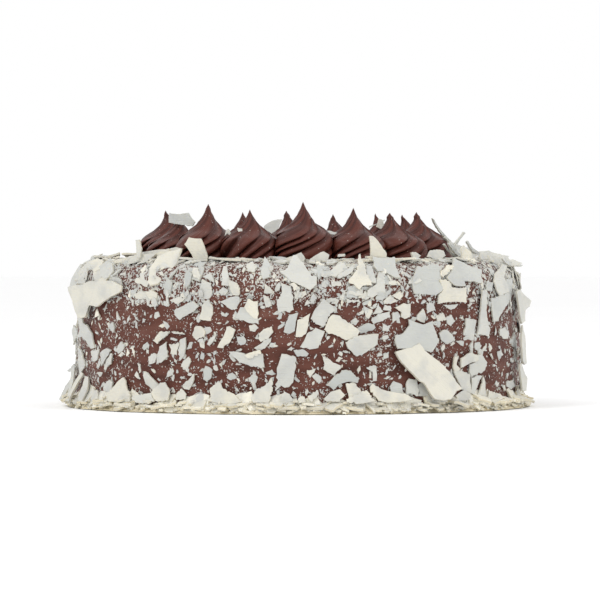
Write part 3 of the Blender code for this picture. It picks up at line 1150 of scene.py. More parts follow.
        # How near each point is to a ridge's crest: it sets the painted groove shade and the painted crest
        # highlight
        crest_highlight = np.append(arch.ravel(), [0.8, 0.0])
        streak = np.append((phase + 0 * reach).ravel(), [0.0, 0.0])
        return points, crest_highlight, streak

    def ridge(self, phase: np.ndarray) -> np.ndarray:
        """How far a ridge stands out across its width: a hollow face, a round crest, an undercut.

        Args:
            phase: How many ridges round each point is.

        Returns:
            A share from 0 to 1 for each.
        """
        fine = np.linspace(0.0, 1.0, 241)
        heights = np.tile(np.interp(fine, *zip(*self.ridge_shape))[:-1], 3)
        window = np.hanning(19)
        heights = np.convolve(heights, window / window.sum(), mode="same")[240:480]
        return np.interp(phase % 1.0, fine, np.append(heights, heights[0]))

    def smooth(self, shares: np.ndarray, shape: Pairs) -> np.ndarray:
        """The width at each share of the height, with the shape's corners rounded off.

        Args:
            shares: Shares of the height.
            shape: Shares of the height and the width at each.

        Returns:
            The widths, as shares of the radius.
        """
        fine = np.linspace(-0.15, 1.15, 261)
        heights, widths = zip(*shape)
        width = np.interp(fine, heights, widths)
        window = np.hanning(17)
        width = np.convolve(width, window / window.sum(), mode="same")
        return np.interp(shares, fine, width)

    def tip_path(self, swirl: PipedSwirl, shares: np.ndarray, bend: float,
                 draws: random.Random) -> np.ndarray:
        """How far each level of a swirl is from its upright axis.

        Args:
            swirl: The swirl.
            shares: The levels, as shares of its height.
            bend: How far its tip hooks over.
            draws: The swirl's own random draws.

        Returns:
            The offsets along X and Y.
        """
        shift = np.array([swirl.tip_shift, draws.uniform(-0.8, 0.8)]) * MM
        lean = shares[:, None] ** 2.2 * shift[None, :]
        hook = np.clip((shares - 0.80) / 0.20, 0, 1)[:, None] ** 2
        way = draws.uniform(0, math.tau)
        return lean + hook * bend * MM * np.array([[math.cos(way), math.sin(way)]])

    def roughened(self, local: np.ndarray, draws: random.Random) -> np.ndarray:
        """Makes piped icing a little lumpy, so that no two ridges are alike.

        Args:
            local: A swirl's points.
            draws: The swirl's own random draws.

        Returns:
            The moved points.
        """
        shift = Vector((draws.uniform(0, 90), draws.uniform(0, 90), 0.0))
        moved = local.copy()
        for index, (x, y, z) in enumerate(local):
            away = max(1e-5, math.hypot(x, y))
            lump = noise.noise(Vector((x * 160, y * 160, z * 160)) + shift)
            fine = noise.noise(Vector((x * 520, y * 520, z * 420)) + shift)
            push = (self.lump_mm * lump + self.fine_lump_mm * fine) * MM * min(1.0, away / 0.006)
            moved[index, 0] += x / away * push
            moved[index, 1] += y / away * push
            moved[index, 2] += 0.4 * push
        return moved

    def pressed(self, points: np.ndarray, turn: float) -> np.ndarray:
        """Squeezes a swirl flat where it meets its neighbours.

        Args:
            points: The swirl's points, in place.
            turn: Its azimuth in radians.

        Returns:
            The points, none of them past the planes half way to the neighbours.
        """
        half_step = math.pi / len(self.heights_mm)
        out = np.array([math.sin(turn), -math.cos(turn)])
        level = np.array([math.cos(turn), math.sin(turn)])
        limit = points[:, :2] @ out * math.tan(half_step)
        side = points[:, :2] @ level
        soft = self.seam_softness
        spare = np.clip((limit - np.abs(side)) / soft, -40, 40)
        shift = np.sign(side) * (limit - soft * np.log1p(np.exp(spare))) - side
        points = points.copy()
        points[:, :2] += level[None, :] * shift[:, None]
        return points


@dataclass(frozen=True)
class Traced:
    """A flake pressed on the side whose corners are traced in the photograph.

    They are in pixels: a column, its row, the next column and so on.
    """

    tone: float
    corners: tuple[float, ...]
    raised: float = 0.0
    lift: float = 3.0
    curl: float = 60.0
    curl_turn: float = 0.0


# The traced flakes along the shoulder, from the left
TRACED_SHOULDER = (
    Traced(0.25, (188, 273, 190, 269, 204.5, 268, 205, 270, 201, 283, 188, 278)),
    Traced(0.9, (193, 273, 195.5, 269.5, 199, 269.5, 202, 277, 201, 282, 194, 277), 0.8),
    Traced(0.6, (203, 279, 212, 283, 213, 292, 210, 298.5, 207, 299.5, 204, 298, 198.5, 295.5, 201, 285.5)),
    Traced(0.5, (222, 274, 224.5, 268, 227.5, 268, 229, 278, 232, 283, 229, 287, 222, 286)),
    Traced(0.8, (229.5, 278, 238, 283, 241, 288.5, 239.5, 295.5, 233.5, 295.5, 230.5, 288.5), 0.4, 12, 9),
    Traced(0.3, (261, 272.5, 265.5, 262.5, 269.5, 265, 270.5, 278, 263.5, 281, 261, 275.5)),
    Traced(0.6, (265.5, 283, 270.5, 287, 273.5, 291.5, 270.5, 294, 264, 293), 0.3, 16, 7),
    Traced(0.6, (264, 294.5, 270.5, 299, 272.5, 305.5, 266.5, 307.5, 265, 302.5), 0.3, 14, 7),
    Traced(0.45, (
        282, 283, 290, 286, 293.5, 296, 294, 310, 291, 311, 289.5, 313, 286.5, 311, 278.5, 313, 277, 301,
        282, 291.5,
    )),
    Traced(0.5, (
        279.5, 272.5, 286.5, 270, 293.5, 262.5, 297.5, 262.5, 305.5, 268, 311.5, 276.5, 317, 277, 317, 286,
        310.5, 291.5, 305.5, 288.5, 299, 285.5, 291, 282.5, 285.5, 277,
    )),
    Traced(0.9, (290.5, 283.5, 294.5, 282.5, 300, 288.5, 294.5, 291), 0.7),
    Traced(0.05, (317, 267, 327.5, 268, 326.5, 272.5, 322, 275.5, 318.5, 281.5, 317, 275)),
    Traced(0.6, (328.5, 273.5, 333, 268.5, 342, 265, 348, 269.5, 340.5, 274, 336, 278, 328.5, 275.5)),
    Traced(0.5, (
        336, 278.5, 340.5, 274, 351, 268.5, 353.5, 269.5, 352, 273.5, 346.5, 276.5, 337.5, 279.5,
    ), 0.5, 6, 20),
    Traced(0.2, (
        371, 262.5, 392, 262.5, 395, 268, 397, 271, 398.5, 280, 395, 280, 388.5, 275.5, 382, 272,
        376.5, 272.5, 372.5, 268,
    )),
    Traced(0.55, (
        376.5, 272.5, 382.5, 273.5, 384, 285.5, 385, 292.5, 378, 294, 371, 298, 366.5, 296, 366.5, 290,
        371, 287, 375.5, 284,
    ), 0.3, 4, 24),
    Traced(0.4, (365, 267, 371, 268, 373.5, 274, 375.5, 284, 370.5, 283.5, 365.5, 276.5), 0.2),
    Traced(0.1, (347.5, 286.5, 352.5, 285, 356, 291, 357.5, 298.5, 346, 297), 0.0, 8, 14),
    Traced(0.85, (
        356, 262.5, 359.5, 265, 365, 273.5, 370.5, 282.5, 370.5, 287, 362, 287, 357.5, 291, 352.5, 285.5,
        347.5, 284, 348, 280, 355, 272,
    ), 0.8, 3, 40),
    Traced(0.6, (343, 291, 346.5, 289.5, 344.5, 299.5, 339.5, 300)),
    Traced(0.7, (357.5, 297, 365, 291, 369, 298, 366.5, 300), 0.2, 10),
    Traced(0.1, (375.5, 296.5, 385.5, 291.5, 391, 288.5, 389.5, 292.5, 382, 301, 375, 299.5)),
    Traced(0.7, (321.5, 282.5, 326, 280, 327.5, 285, 326, 288, 321.5, 287)),
    Traced(0.15, (
        413, 268, 432.5, 266, 438, 274, 441.5, 289.5, 438, 293, 434.5, 295.5, 412, 294, 409.5, 281,
    ), 0.0, 3, 90),
    Traced(0.25, (
        450, 263.5, 460.5, 265.5, 477.5, 271.5, 479, 285, 463.5, 282.5, 464.5, 287, 453.5, 287, 443, 279,
        451, 270.5,
    ), 0.3, 4, 40),
    Traced(0.85, (
        437, 280, 444, 279, 451.5, 287.5, 463.5, 287.5, 464.5, 302.5, 437, 304, 437, 295.5, 441.5, 289.5,
    ), 0.9, 3),
    Traced(0.9, (438, 273, 445, 268, 450, 269.5, 446.5, 275.5, 441.5, 279, 438, 277.5), 0.9, 16, 5),
    Traced(0.6, (
        491.5, 274, 494.5, 267, 499, 268, 501, 277.5, 505, 285, 506, 292, 496.5, 296.5, 493, 289.5,
        491.5, 282.5,
    ), 0.5),
    Traced(0.15, (504, 279, 510, 278, 511.5, 290, 510.5, 300, 507.5, 302, 505, 292)),
    Traced(0.4, (104, 279, 110, 275, 121, 279, 122, 285, 114, 287, 105, 285)),
    Traced(0.7, (134.5, 294, 140, 290.5, 147, 293, 147, 298, 140, 299.5, 135, 298), 0.0, 9),
    Traced(0.8, (146, 292, 152, 289.5, 159, 293, 158, 298, 150, 299), 0.3, 9),
    Traced(0.5, (219, 291, 224, 287, 229, 290, 226, 295.5, 221, 296), 0.0, 14),
    Traced(0.6, (247, 266, 253, 264, 257, 268, 254, 274, 248, 273)),
    Traced(0.6, (331, 281.5, 341, 281.5, 342, 285, 332, 286)),
)

# The traced flakes of the side's left half
TRACED_LEFT = (
    Traced(0.75, (
        204.5, 301, 210, 299.5, 213.5, 307, 213, 311.5, 211, 321, 207.5, 321, 199, 319.5, 202, 311,
    )),
    Traced(0.25, (
        175.5, 311, 177.5, 308.5, 190, 302.5, 195.5, 301, 201.5, 306, 195.5, 311.5, 184.5, 317, 180, 320,
        176, 315,
    ), 0.5, 6),
    Traced(0.35, (220, 301.5, 230.5, 297, 239.5, 296.5, 240.5, 301.5, 236.5, 308.5, 232, 310, 226, 305.5)),
    Traced(0.35, (241, 307, 246.5, 307, 251, 314.5, 259, 319, 259, 324.5, 249, 323, 235, 318.5)),
    Traced(0.9, (
        249, 298.5, 259, 301, 259.5, 313, 258, 319, 255, 318.5, 247.5, 311.5, 245, 307,
    ), 0.6, 6, 30),
    Traced(0.8, (
        193, 332, 196, 326, 200.5, 326, 205.5, 331, 204.5, 336.5, 199, 338, 195.5, 340.5, 192, 335,
    ), 0.2, 8, 12),
    Traced(0.4, (197, 340.5, 202, 338, 204.5, 344, 197.5, 342), 0.2, -14),
    Traced(0.8, (
        227.5, 326.5, 230.5, 326, 236.5, 329.5, 233.5, 337, 229, 343.5, 223.5, 346.5, 223, 348.5,
        217, 347.5, 223.5, 337,
    ), 0.3, 6),
    Traced(0.05, (237, 336.5, 243.5, 335.5, 246.5, 341, 245, 344, 240.5, 345.5, 238, 343.5)),
    Traced(0.2, (255, 338, 259, 332, 259.5, 339.5, 256, 339)),
    Traced(0.75, (259, 333.5, 264, 329, 272, 326, 274, 332, 268, 339, 261, 342, 259, 339), 0.4),
    Traced(0.4, (254, 348, 262.5, 342.5, 272, 337, 271, 342, 265, 348.5, 257.5, 350.5), 0.0, 6),
    Traced(0.45, (
        229, 351.5, 236, 351.5, 245, 353.5, 249, 358, 262, 354, 263.5, 353.5, 265, 367.5, 252, 367,
        249, 365.5, 239.5, 362.5, 233.5, 356.5,
    ), 0.2, 5),
    Traced(0.9, (245, 355, 261, 349.5, 262, 354, 250.5, 358.5, 247.5, 358), 0.9, 8),
    Traced(0.6, (180, 367, 182.5, 361, 188.5, 356.5, 190.5, 361.5, 188.5, 365, 186, 370)),
    Traced(0.55, (181.5, 339, 187, 337, 186, 348, 183, 357, 179, 361, 178, 350), 0.2, 8, 20),
    Traced(0.1, (227.5, 374, 232, 372.5, 236.5, 378, 233.5, 379.5, 229, 380, 226, 378)),
    Traced(0.3, (248, 378, 253.5, 374, 258, 377, 255, 384.5, 250.5, 382.5)),
    Traced(0.1, (265.5, 372.5, 272, 369.5, 276.5, 374, 272, 375.5, 266.5, 374.5)),
    Traced(0.6, (212, 366.5, 216, 365, 217.5, 370, 215, 371, 213, 369.5)),
    Traced(0.7, (218.5, 364, 222, 361.5, 222, 369.5), 0.2, 10),
    Traced(0.8, (153, 340, 162, 331, 171, 331.5, 168, 335.5, 162, 339, 157, 344), 0.4, 8),
    Traced(0.7, (172, 331.5, 184.5, 333, 185, 334.5, 174.5, 333.5), 0.6, 12),
    Traced(0.7, (168.5, 344, 179.5, 343.5, 176, 351.5, 176, 355.5, 169.5, 354, 170.5, 349)),
    Traced(0.5, (159.5, 346.5, 167, 341.5, 168, 356.5, 162, 361.5, 155.5, 364.5, 157, 354.5), 0.2),
    Traced(0.5, (148, 357, 153.5, 353, 157, 354.5, 153.5, 363, 148, 364.5)),
    Traced(0.35, (117, 345, 120.5, 341.5, 124, 345, 121.5, 350.5, 116.5, 354, 115, 350)),
    Traced(0.1, (108, 325, 113, 322.5, 114, 327.5, 112, 333, 109, 329)),
    Traced(0.4, (153.5, 318, 154.5, 312.5, 158, 311.5, 159.5, 316.5, 155.5, 319)),
    Traced(0.35, (
        85.5, 321.5, 90, 325.5, 92.5, 330.5, 94, 334, 95, 348, 91.5, 349, 87.5, 340.5, 84, 336.5, 80, 336.5,
        82.5, 328,
    ), 0.3),
    Traced(0.5, (90.5, 351.5, 99, 349, 96.5, 359.5, 92.5, 361.5)),
    Traced(0.35, (100, 353, 106.5, 348, 111.5, 350, 106.5, 356.5, 100, 366.5), 0.2),
    Traced(0.5, (106.5, 359.5, 111.5, 353, 113, 354, 110, 364.5, 104, 370.5, 102.5, 369), 0.3, 8),
    Traced(0.5, (95.5, 366.5, 99, 358, 100, 363, 96.5, 369.5)),
    Traced(0.5, (79.5, 346.5, 83, 353, 85, 364.5, 81.5, 370.5, 79, 375, 78, 363), 0.3),
    Traced(0.5, (79.5, 318, 82.5, 317, 84.5, 323, 81, 335, 79.5, 329), 0.1),
    Traced(0.5, (167, 290, 170, 290, 169.5, 304, 166.5, 305), 0.2),
    Traced(0.6, (171, 300.5, 177, 297.5, 188.5, 297, 184, 301, 179, 304.5), 0.2),
    Traced(0.5, (137, 363, 139.5, 364, 140, 372, 138, 373.5)),
    Traced(0.6, (249, 326, 255, 324, 259, 328, 255, 332, 250, 331)),
)

# The traced flakes of the side's right half
TRACED_RIGHT = (
    Traced(0.4, (
        282, 353.5, 287, 354, 295.5, 356.5, 295, 371, 293.5, 382.5, 289.5, 387, 285, 388, 281, 385.5,
        278.5, 388.5, 275, 391.5, 277, 368,
    ), 0.3),
    Traced(0.4, (310.5, 298, 313.5, 293, 317, 298, 312, 304, 310.5, 303), 0.0, 9),
    Traced(0.6, (304.5, 305.5, 307.5, 299.5, 311.5, 303, 306, 305.5), 0.0, 9),
    Traced(0.6, (294.5, 296.5, 298.5, 291.5, 301.5, 292.5, 297.5, 299.5, 294.5, 298.5)),
    Traced(0.0, (290, 314.5, 298.5, 312.5, 296, 322, 295, 331, 289.5, 334, 283.5, 332, 286, 322)),
    Traced(0.8, (
        297.5, 320, 304, 317, 310.5, 313, 308.5, 325.5, 306, 334, 302, 337, 295.5, 337, 297, 326,
    ), 0.4),
    Traced(0.5, (
        315.5, 327.5, 325, 331, 323, 336.5, 320.5, 342.5, 318.5, 348, 313, 349, 300, 347, 304, 341,
        307, 333.5,
    ), 0.0, 3),
    Traced(0.8, (
        331.5, 314.5, 339, 315.5, 349.5, 323, 357.5, 329, 359.5, 331, 357.5, 336.5, 353.5, 339.5,
        346.5, 340.5, 339.5, 336.5, 328.5, 334, 323.5, 329.5, 327.5, 319,
    ), 0.5, 4),
    Traced(0.45, (
        323, 298.5, 333, 306, 334.5, 310, 330, 314, 323.5, 327.5, 317, 324.5, 310.5, 319, 313, 312.5,
        319, 304.5,
    ), 1.0, 4),
    Traced(0.6, (331.5, 298.5, 336, 298, 339, 301, 337.5, 304, 331.5, 304), 0.0, 8),
    Traced(0.5, (372.5, 314.5, 378, 303, 383.5, 311, 380.5, 314)),
    Traced(0.5, (382.5, 310, 384, 304.5, 390, 305.5, 391, 311.5), 0.3),
    Traced(0.7, (382.5, 301.5, 389.5, 294.5, 397, 301, 389.5, 304, 383.5, 304), 0.0, 6),
    Traced(0.8, (390, 295.5, 398.5, 291, 401, 296.5, 398.5, 300, 395, 298.5), 0.3, 8),
    Traced(0.4, (372, 317.5, 382, 313, 389.5, 311.5, 390, 317.5, 380.5, 321.5, 374, 324, 371, 321), 0.3),
    Traced(0.0, (
        356.5, 328.5, 366.5, 323, 374, 324, 375.5, 327.5, 372.5, 330.5, 365, 332.5, 360.5, 333.5,
    ), 0.0, 8, 14),
    Traced(0.75, (
        391, 307, 400, 304, 408, 303, 408.5, 317, 403.5, 319, 400, 317, 399.5, 311.5,
    ), 0.4, 8, 16),
    Traced(0.3, (392, 313, 397, 311.5, 400, 317, 392.5, 323)),
    Traced(0.4, (351, 321, 356, 317.5, 359, 321.5, 356, 325.5, 351, 324)),
    Traced(0.55, (
        358, 335.5, 377, 332.5, 377, 343.5, 371, 348.5, 364, 354, 356.5, 356.5, 353.5, 354, 347.5, 348.5,
        345, 342.5, 348, 340.5,
    ), 0.2, 9, 22, 30),
    Traced(0.6, (
        321.5, 354.5, 328.5, 358.5, 333, 362.5, 341, 365.5, 341, 368.5, 335, 376, 323.5, 369.5,
        324.5, 363.5,
    ), 0.3, 6),
    Traced(0.0, (
        324.5, 384.5, 333, 377, 343.5, 370, 349.5, 370, 353.5, 374, 359, 378, 357.5, 382.5, 349.5, 381.5,
        337.5, 385.5, 333, 390, 328.5, 386,
    ), 0.7, 8, 18),
    Traced(0.7, (307, 370, 316, 368.5, 314.5, 372.5, 310, 378, 307, 373)),
    Traced(0.4, (312, 376.5, 315.5, 373, 321.5, 377, 321.5, 381.5, 319, 384)),
    Traced(0.55, (
        366.5, 367, 375.5, 365.5, 376.5, 370, 377, 381, 373.5, 381.5, 372.5, 370, 366.5, 368.5,
    ), 0.4, 6),
    Traced(0.8, (370, 371, 372, 371, 372, 378.5, 369.5, 378)),
    Traced(0.0, (293.5, 350.5, 297, 349.5, 304, 349.5, 309, 353.5, 307, 356.5, 297, 356.5)),
    Traced(0.7, (336, 361, 339.5, 356.5, 343, 358, 339.5, 362.5), 0.0, 12),
    Traced(0.8, (357.5, 370, 360.5, 365.5, 361, 368.5, 359, 374), 0.0, 12),
    Traced(0.5, (
        479, 289.5, 483.5, 289.5, 484.5, 310, 489.5, 330, 489, 337, 477, 335, 478, 330, 478.5, 303,
    ), 0.8, 3, 30),
    Traced(0.3, (489.5, 298, 495.5, 296.5, 507.5, 293, 507, 303, 497.5, 321.5, 493, 322, 491.5, 312), 0.3),
    Traced(0.6, (415.5, 315.5, 421.5, 308.5, 425, 317, 424, 323, 415.5, 319.5), 0.0, 6),
    Traced(0.5, (425, 303, 432.5, 303, 434.5, 310, 426.5, 313.5)),
    Traced(0.7, (434.5, 315.5, 442, 312.5, 445.5, 319.5, 438, 322), 0.0, 9),
    Traced(0.3, (445.5, 318.5, 451, 314.5, 455, 320.5, 451.5, 326.5, 447.5, 324)),
    Traced(0.3, (443, 304.5, 458.5, 304, 455, 308.5, 451.5, 310)),
    Traced(0.35, (
        437.5, 333, 443.5, 329.5, 447, 330.5, 451.5, 335, 454.5, 340, 445.5, 344, 440, 339.5,
    ), 0.2, 6),
    Traced(0.4, (466, 318, 476, 320, 475, 341, 470.5, 342, 464, 335)),
    Traced(0.55, (500, 328.5, 505, 327, 509.5, 333, 509, 338.5, 504.5, 339, 500.5, 335)),
    Traced(0.3, (469.5, 345.5, 473, 341, 474, 354.5, 471.5, 354.5)),
    Traced(0.2, (475.5, 343, 480, 342, 482, 346.5, 478.5, 351, 475, 348)),
    Traced(0.6, (
        452.5, 371.5, 461.5, 370.5, 470.5, 374, 470, 382, 470.5, 389.5, 471.5, 394, 461.5, 389.5, 458, 382,
    ), 0.2, -4),
    Traced(0.4, (
        468.5, 364.5, 477.5, 360.5, 475.5, 355.5, 480, 353.5, 485.5, 362.5, 484.5, 369.5, 482, 373,
        475.5, 375, 471.5, 377.5, 468.5, 371.5,
    ), 0.2, 5, 30),
    Traced(0.65, (
        457, 358, 463, 356.5, 468.5, 352.5, 475.5, 354.5, 475, 360.5, 465, 366, 460.5, 368,
    ), 0.6, 9, 14),
    Traced(0.8, (451.5, 356.5, 456, 355.5, 455, 365, 459.5, 369, 454.5, 373, 451.5, 366), 0.6, 9, 9),
    Traced(0.4, (471.5, 377.5, 477.5, 375, 483, 375, 475.5, 389.5, 473, 395.5, 470.5, 393), 0.4, -6),
    Traced(0.2, (516, 332, 518.5, 341, 518.5, 347.5, 514, 345.5, 513, 341)),
    Traced(0.3, (507, 381.5, 513, 380.5, 516, 386.5, 512.5, 389.5, 507, 386.5)),
    Traced(0.5, (346, 299, 359, 299.5, 360, 302, 347, 303), 0.2, 10),
    Traced(0.5, (383, 324, 387.5, 326, 391.5, 324.5, 389, 329, 390.5, 332, 385.5, 331, 382.5, 331)),
)

# The traced flakes that lean on the side at the foot
TRACED_FOOT = (
    Traced(0.8, (
        124, 377, 126.5, 380, 129, 387.5, 134, 395, 134, 402, 113, 402, 110, 395, 114.5, 387.5, 118, 382,
    ), 1.0, -9),
    Traced(0.5, (
        109, 379.5, 113, 382.5, 112, 387.5, 113, 391.5, 110, 393.5, 106.5, 391.5, 104, 390, 104, 384,
    ), 0.3, -5),
    Traced(0.6, (
        145.5, 371, 149.5, 374.5, 158.5, 384, 158, 387.5, 153.5, 391.5, 146, 384, 144, 375,
    ), 0.4, 5),
    Traced(0.85, (
        154.5, 390, 162, 382.5, 166, 382, 171, 388.5, 172, 394, 170.5, 401, 158.5, 401, 155.5, 397.5,
        153.5, 393.5,
    ), 1.0, -9),
    Traced(0.6, (
        135.5, 398.5, 147, 393.5, 153.5, 392.5, 155.5, 397.5, 158.5, 401, 147, 404, 139.5, 402.5,
    ), 1.4, -14),
    Traced(0.3, (165.5, 377, 167, 372.5, 172, 367.5, 173.5, 371, 172, 375, 167, 377.5)),
    Traced(0.7, (177, 393.5, 182, 388.5, 187, 394, 186, 400, 177, 400), 0.8, -9),
    Traced(0.6, (182, 386, 186, 381, 195, 373.5, 194, 379.5, 188.5, 390, 183.5, 389), 0.4, 4),
    Traced(0.85, (
        210.5, 389, 213, 386.5, 217.5, 382, 220.5, 382, 222.5, 387.5, 231.5, 392.5, 239.5, 398.5,
        244.5, 402.5, 230, 405, 217.5, 403, 212.5, 402, 211.5, 396,
    ), 1.0, -10, 40),
    Traced(0.7, (
        251.5, 397.5, 255.5, 391, 266, 385, 272, 377, 273.5, 382.5, 271, 399, 269.5, 403, 254.5, 403,
    ), 0.7, -8, 30),
    Traced(0.7, (298, 399, 300, 396, 304.5, 396.5, 306, 402, 298.5, 403), 1.0, -12),
    Traced(0.7, (307.5, 396, 318, 390, 319, 394, 311, 402), 0.6, -12),
    Traced(0.8, (323, 399, 331, 391.5, 340, 389, 345, 395, 339, 402, 326, 402), 0.8, -12),
    Traced(0.85, (345.5, 383.5, 354.5, 382.5, 360.5, 391, 359, 400, 349, 400), 0.8, -8),
    Traced(0.85, (345, 399, 366.5, 390, 374.5, 401.5, 358, 404, 345, 403), 1.4, -16),
    Traced(0.85, (
        369, 386.5, 372, 383.5, 380.5, 389, 403, 394, 410.5, 401, 386, 403, 377, 401, 369, 390,
    ), 1.2, -12, 40),
    Traced(0.2, (393.5, 381, 401, 384, 403.5, 395, 391, 395, 389.5, 386.5), 0.4, -6),
    Traced(0.5, (405.5, 384, 408.5, 378.5, 415.5, 379.5, 417, 385, 417.5, 396, 404.5, 394), 0.6, -6),
    Traced(0.4, (417.5, 385, 422, 382.5, 427.5, 390, 427, 396, 418, 396), 0.4, -6),
    Traced(0.7, (475.5, 396, 483, 376, 484.5, 383, 484, 397), 0.7, -6),
    Traced(0.7, (454.5, 396, 464, 390, 469.5, 394, 468, 401, 456, 401), 0.9, -12),
    Traced(0.6, (196, 399, 200, 393, 206, 396, 208, 402, 197, 402), 0.8, -12),
    Traced(0.7, (280, 400, 284, 391, 290, 394, 294, 402, 281, 403), 0.7, -9),
    Traced(0.6, (430, 399, 436, 394, 446, 399, 446, 403, 431, 403), 0.8, -10),
    Traced(0.7, (485, 399, 488, 390, 496, 393, 499, 401, 487, 401), 0.6, -10),
    Traced(0.7, (88, 398, 93, 388, 99, 391, 102, 400, 90, 401), 0.8, -10),
)


@dataclass(frozen=True)
class Scatter:
    """How flakes of one size are strewn over a part of the icing: lengths in mm, angles in degrees."""

    count: int
    low: float
    high: float
    lengths: tuple[float, float]
    slender: tuple[float, float]
    lift: tuple[float, float]
    grade: Grade
    cuts: tuple[Cut, ...]
    apart: float = 0.0
    clump: float = 0.0
    thickness: float = 0.9
    clear_of_seen: float = 0.0
    front_lift: float = 1.0
    front_share: float = 1.0
    tone: float = 0.42


class Presser:
    """Presses flakes on the icing and keeps count of where they lie."""

    def __init__(self, cake: CakeShape, seed: int) -> None:
        """Starts with bare icing.

        Args:
            cake: The iced cake.
            seed: The seed of the random draws.
        """
        self.cake = cake
        self.draws = random.Random(seed)
        self.cutter = FlakeCutter(self.draws)
        self.spots: list[tuple[float, float, float, float]] = []
        self.seen: list[tuple[float, float, float, float]] = []

    def overlaps(self, point: np.ndarray, reach: float) -> int:
        """How many of the flakes that already lie there a new one would cover.

        Args:
            point: Where the new one lies.
            reach: Its reach from there.

        Returns:
            How many there are.
        """
        if not self.spots:
            return 0
        spots = np.array(self.spots)
        away = np.linalg.norm(spots[:, :3] - point, axis=1)
        return int((away < 0.55 * (spots[:, 3] + reach)).sum())

    def press(self, heap: Heap, flake: Flake, lie: Lie, azimuth: float, along: float, grade: Grade,
              corners: np.ndarray | None = None) -> None:
        """Presses one flake on the icing, or on the flakes that lie there.

        Args:
            heap: The heap that it joins.
            flake: The flake.
            lie: How it lies.
            azimuth: Its azimuth in degrees.
            along: Its distance along the icing.
            grade: How finely it is made.
            corners: The corners of its outline in mm, where they aren't its cut's.
        """
        local = self.cutter.plate(flake, grade, corners)
        grain = local[:, 1] / MM + self.draws.uniform(0, 100)
        local = local @ spin(("Z", lie.turn), ("Y", lie.swing), ("X", lie.lift))
        points, frames = self.cake.frames(np.array([azimuth]), np.array([along]))
        roundness = self.cake.radius if along < self.cake.side_length else 10.0
        clearance = local[:, 2] + local[:, 0] ** 2 / (2 * roundness)
        reach = (flake.length + flake.width) / 4 * MM
        layers = min(MOST_LAYERS, self.overlaps(points[0], reach)) if corners is None else 0
        raised = lie.raised * MM + layers * 0.5 * flake.thickness * MM
        local[:, 2] += raised - lie.sink * MM - clearance.min()
        heap.add_plate(points[0] + local @ frames[0], grade, flake.tone, grain)
        if grade not in (Grade.SMALL, Grade.TINY):
            self.spots.append((*points[0], reach))

    def near_seen(self, point: np.ndarray, share: float) -> bool:
        """Whether a point lies within a share of the reach of a flake that the photograph shows.

        Args:
            point: The point.
            share: The share of the reach.

        Returns:
            Whether it does.
        """
        if not self.seen or share <= 0:
            return False
        seen = np.array(self.seen)
        away = np.linalg.norm(seen[:, :3] - point, axis=1)
        return bool((away < share * seen[:, 3]).any())

    def strew_all(self, name: str, scatters: tuple[Scatter, ...], material: Material) -> None:
        """Strews flakes of several sizes as one object.

        Args:
            name: Its name.
            scatters: How many flakes of each size there are and how they lie.
            material: The white chocolate.
        """
        heap = Heap()
        for scatter in scatters:
            self.strew(heap, scatter)
        heap.build(name, material)

    def strew(self, heap: Heap, scatter: Scatter) -> None:
        """Strews flakes of one size over a part of the icing.

        Args:
            heap: The heap that they join.
            scatter: How many there are and how they lie.
        """
        kept: list[np.ndarray] = []
        tries = 0
        while len(kept) < scatter.count and tries < scatter.count * TRIES_FOR_EACH:
            tries += 1
            azimuth = self.draws.uniform(-180, 180)
            along = self.draws.uniform(scatter.low, scatter.high) * MM
            if abs(azimuth) < FRONT_REACH and self.draws.random() > scatter.front_share:
                continue
            point = self.cake.place(azimuth, along)
            if along > self.cake.top_start:
                if self.draws.random() > math.hypot(*point[:2]) / self.cake.radius:
                    continue
            if scatter.clump:
                cloud = noise.noise(Vector(point * 75)) + 0.5 * noise.noise(Vector(point * 190))
                if self.draws.random() > 0.5 + scatter.clump * cloud:
                    continue
            if scatter.apart and kept:
                away = np.linalg.norm(np.array(kept) - point, axis=1)
                if away.min() < scatter.apart * MM:
                    continue
            if self.near_seen(point, scatter.clear_of_seen):
                continue
            kept.append(point)
            self.strew_one(heap, scatter, azimuth, along)

    def strew_one(self, heap: Heap, scatter: Scatter, azimuth: float, along: float) -> None:
        """Presses one strewn flake on, of a size and a lie drawn at random.

        Args:
            heap: The heap that it joins.
            scatter: What is strewn.
            azimuth: Its azimuth in degrees.
            along: Its distance along the icing.
        """
        draws = self.draws
        low, high = scatter.lengths
        length = low + (high - low) * draws.random() ** 1.6
        curl = draws.choice((-1, 1)) * draws.uniform(2.2, 9.0) * length / 2
        flake = Flake(
            length=length,
            width=length * draws.uniform(*scatter.slender),
            cut=draws.choice(scatter.cuts),
            thickness=scatter.thickness * draws.uniform(0.75, 1.2),
            curl=curl,
            curl_turn=draws.uniform(-90, 90),
            tone=drawn_tone(draws, scatter.tone, 0.28),
        )
        lift = draws.uniform(*scatter.lift) * draws.choice((-1, 1))
        if abs(azimuth) < FRONT_REACH:
            lift *= scatter.front_lift
        lie = Lie(turn=draws.uniform(0, 360), lift=lift, swing=draws.uniform(-6, 6))
        self.press(heap, flake, lie, azimuth, along, scatter.grade)


def crumb_shapes(draws: random.Random, count: int) -> list[np.ndarray]:
    """Small broken bits: flattened octahedra with their corners moved.

    Args:
        draws: The random draws.
        count: How many unlike bits to make.

    Returns:
        Six points for each bit, about 1 across.
    """
    corners = np.array([(1, 0, 0), (0, 1, 0), (-1, 0, 0), (0, -1, 0), (0, 0, 0.45), (0, 0, -0.45)], float)
    shapes = []
    for _ in range(count):
        play = np.array([[draws.uniform(-0.35, 0.35) for _ in range(3)] for _ in corners])
        stretch = np.array([draws.uniform(0.6, 1.3), draws.uniform(0.35, 0.8), 1.0])
        shapes.append((corners + play) * stretch / 2)
    return shapes


CRUMB_FACES = np.array([
    (0, 1, 4), (1, 2, 4), (2, 3, 4), (3, 0, 4), (1, 0, 5), (2, 1, 5), (3, 2, 5), (0, 3, 5),
])


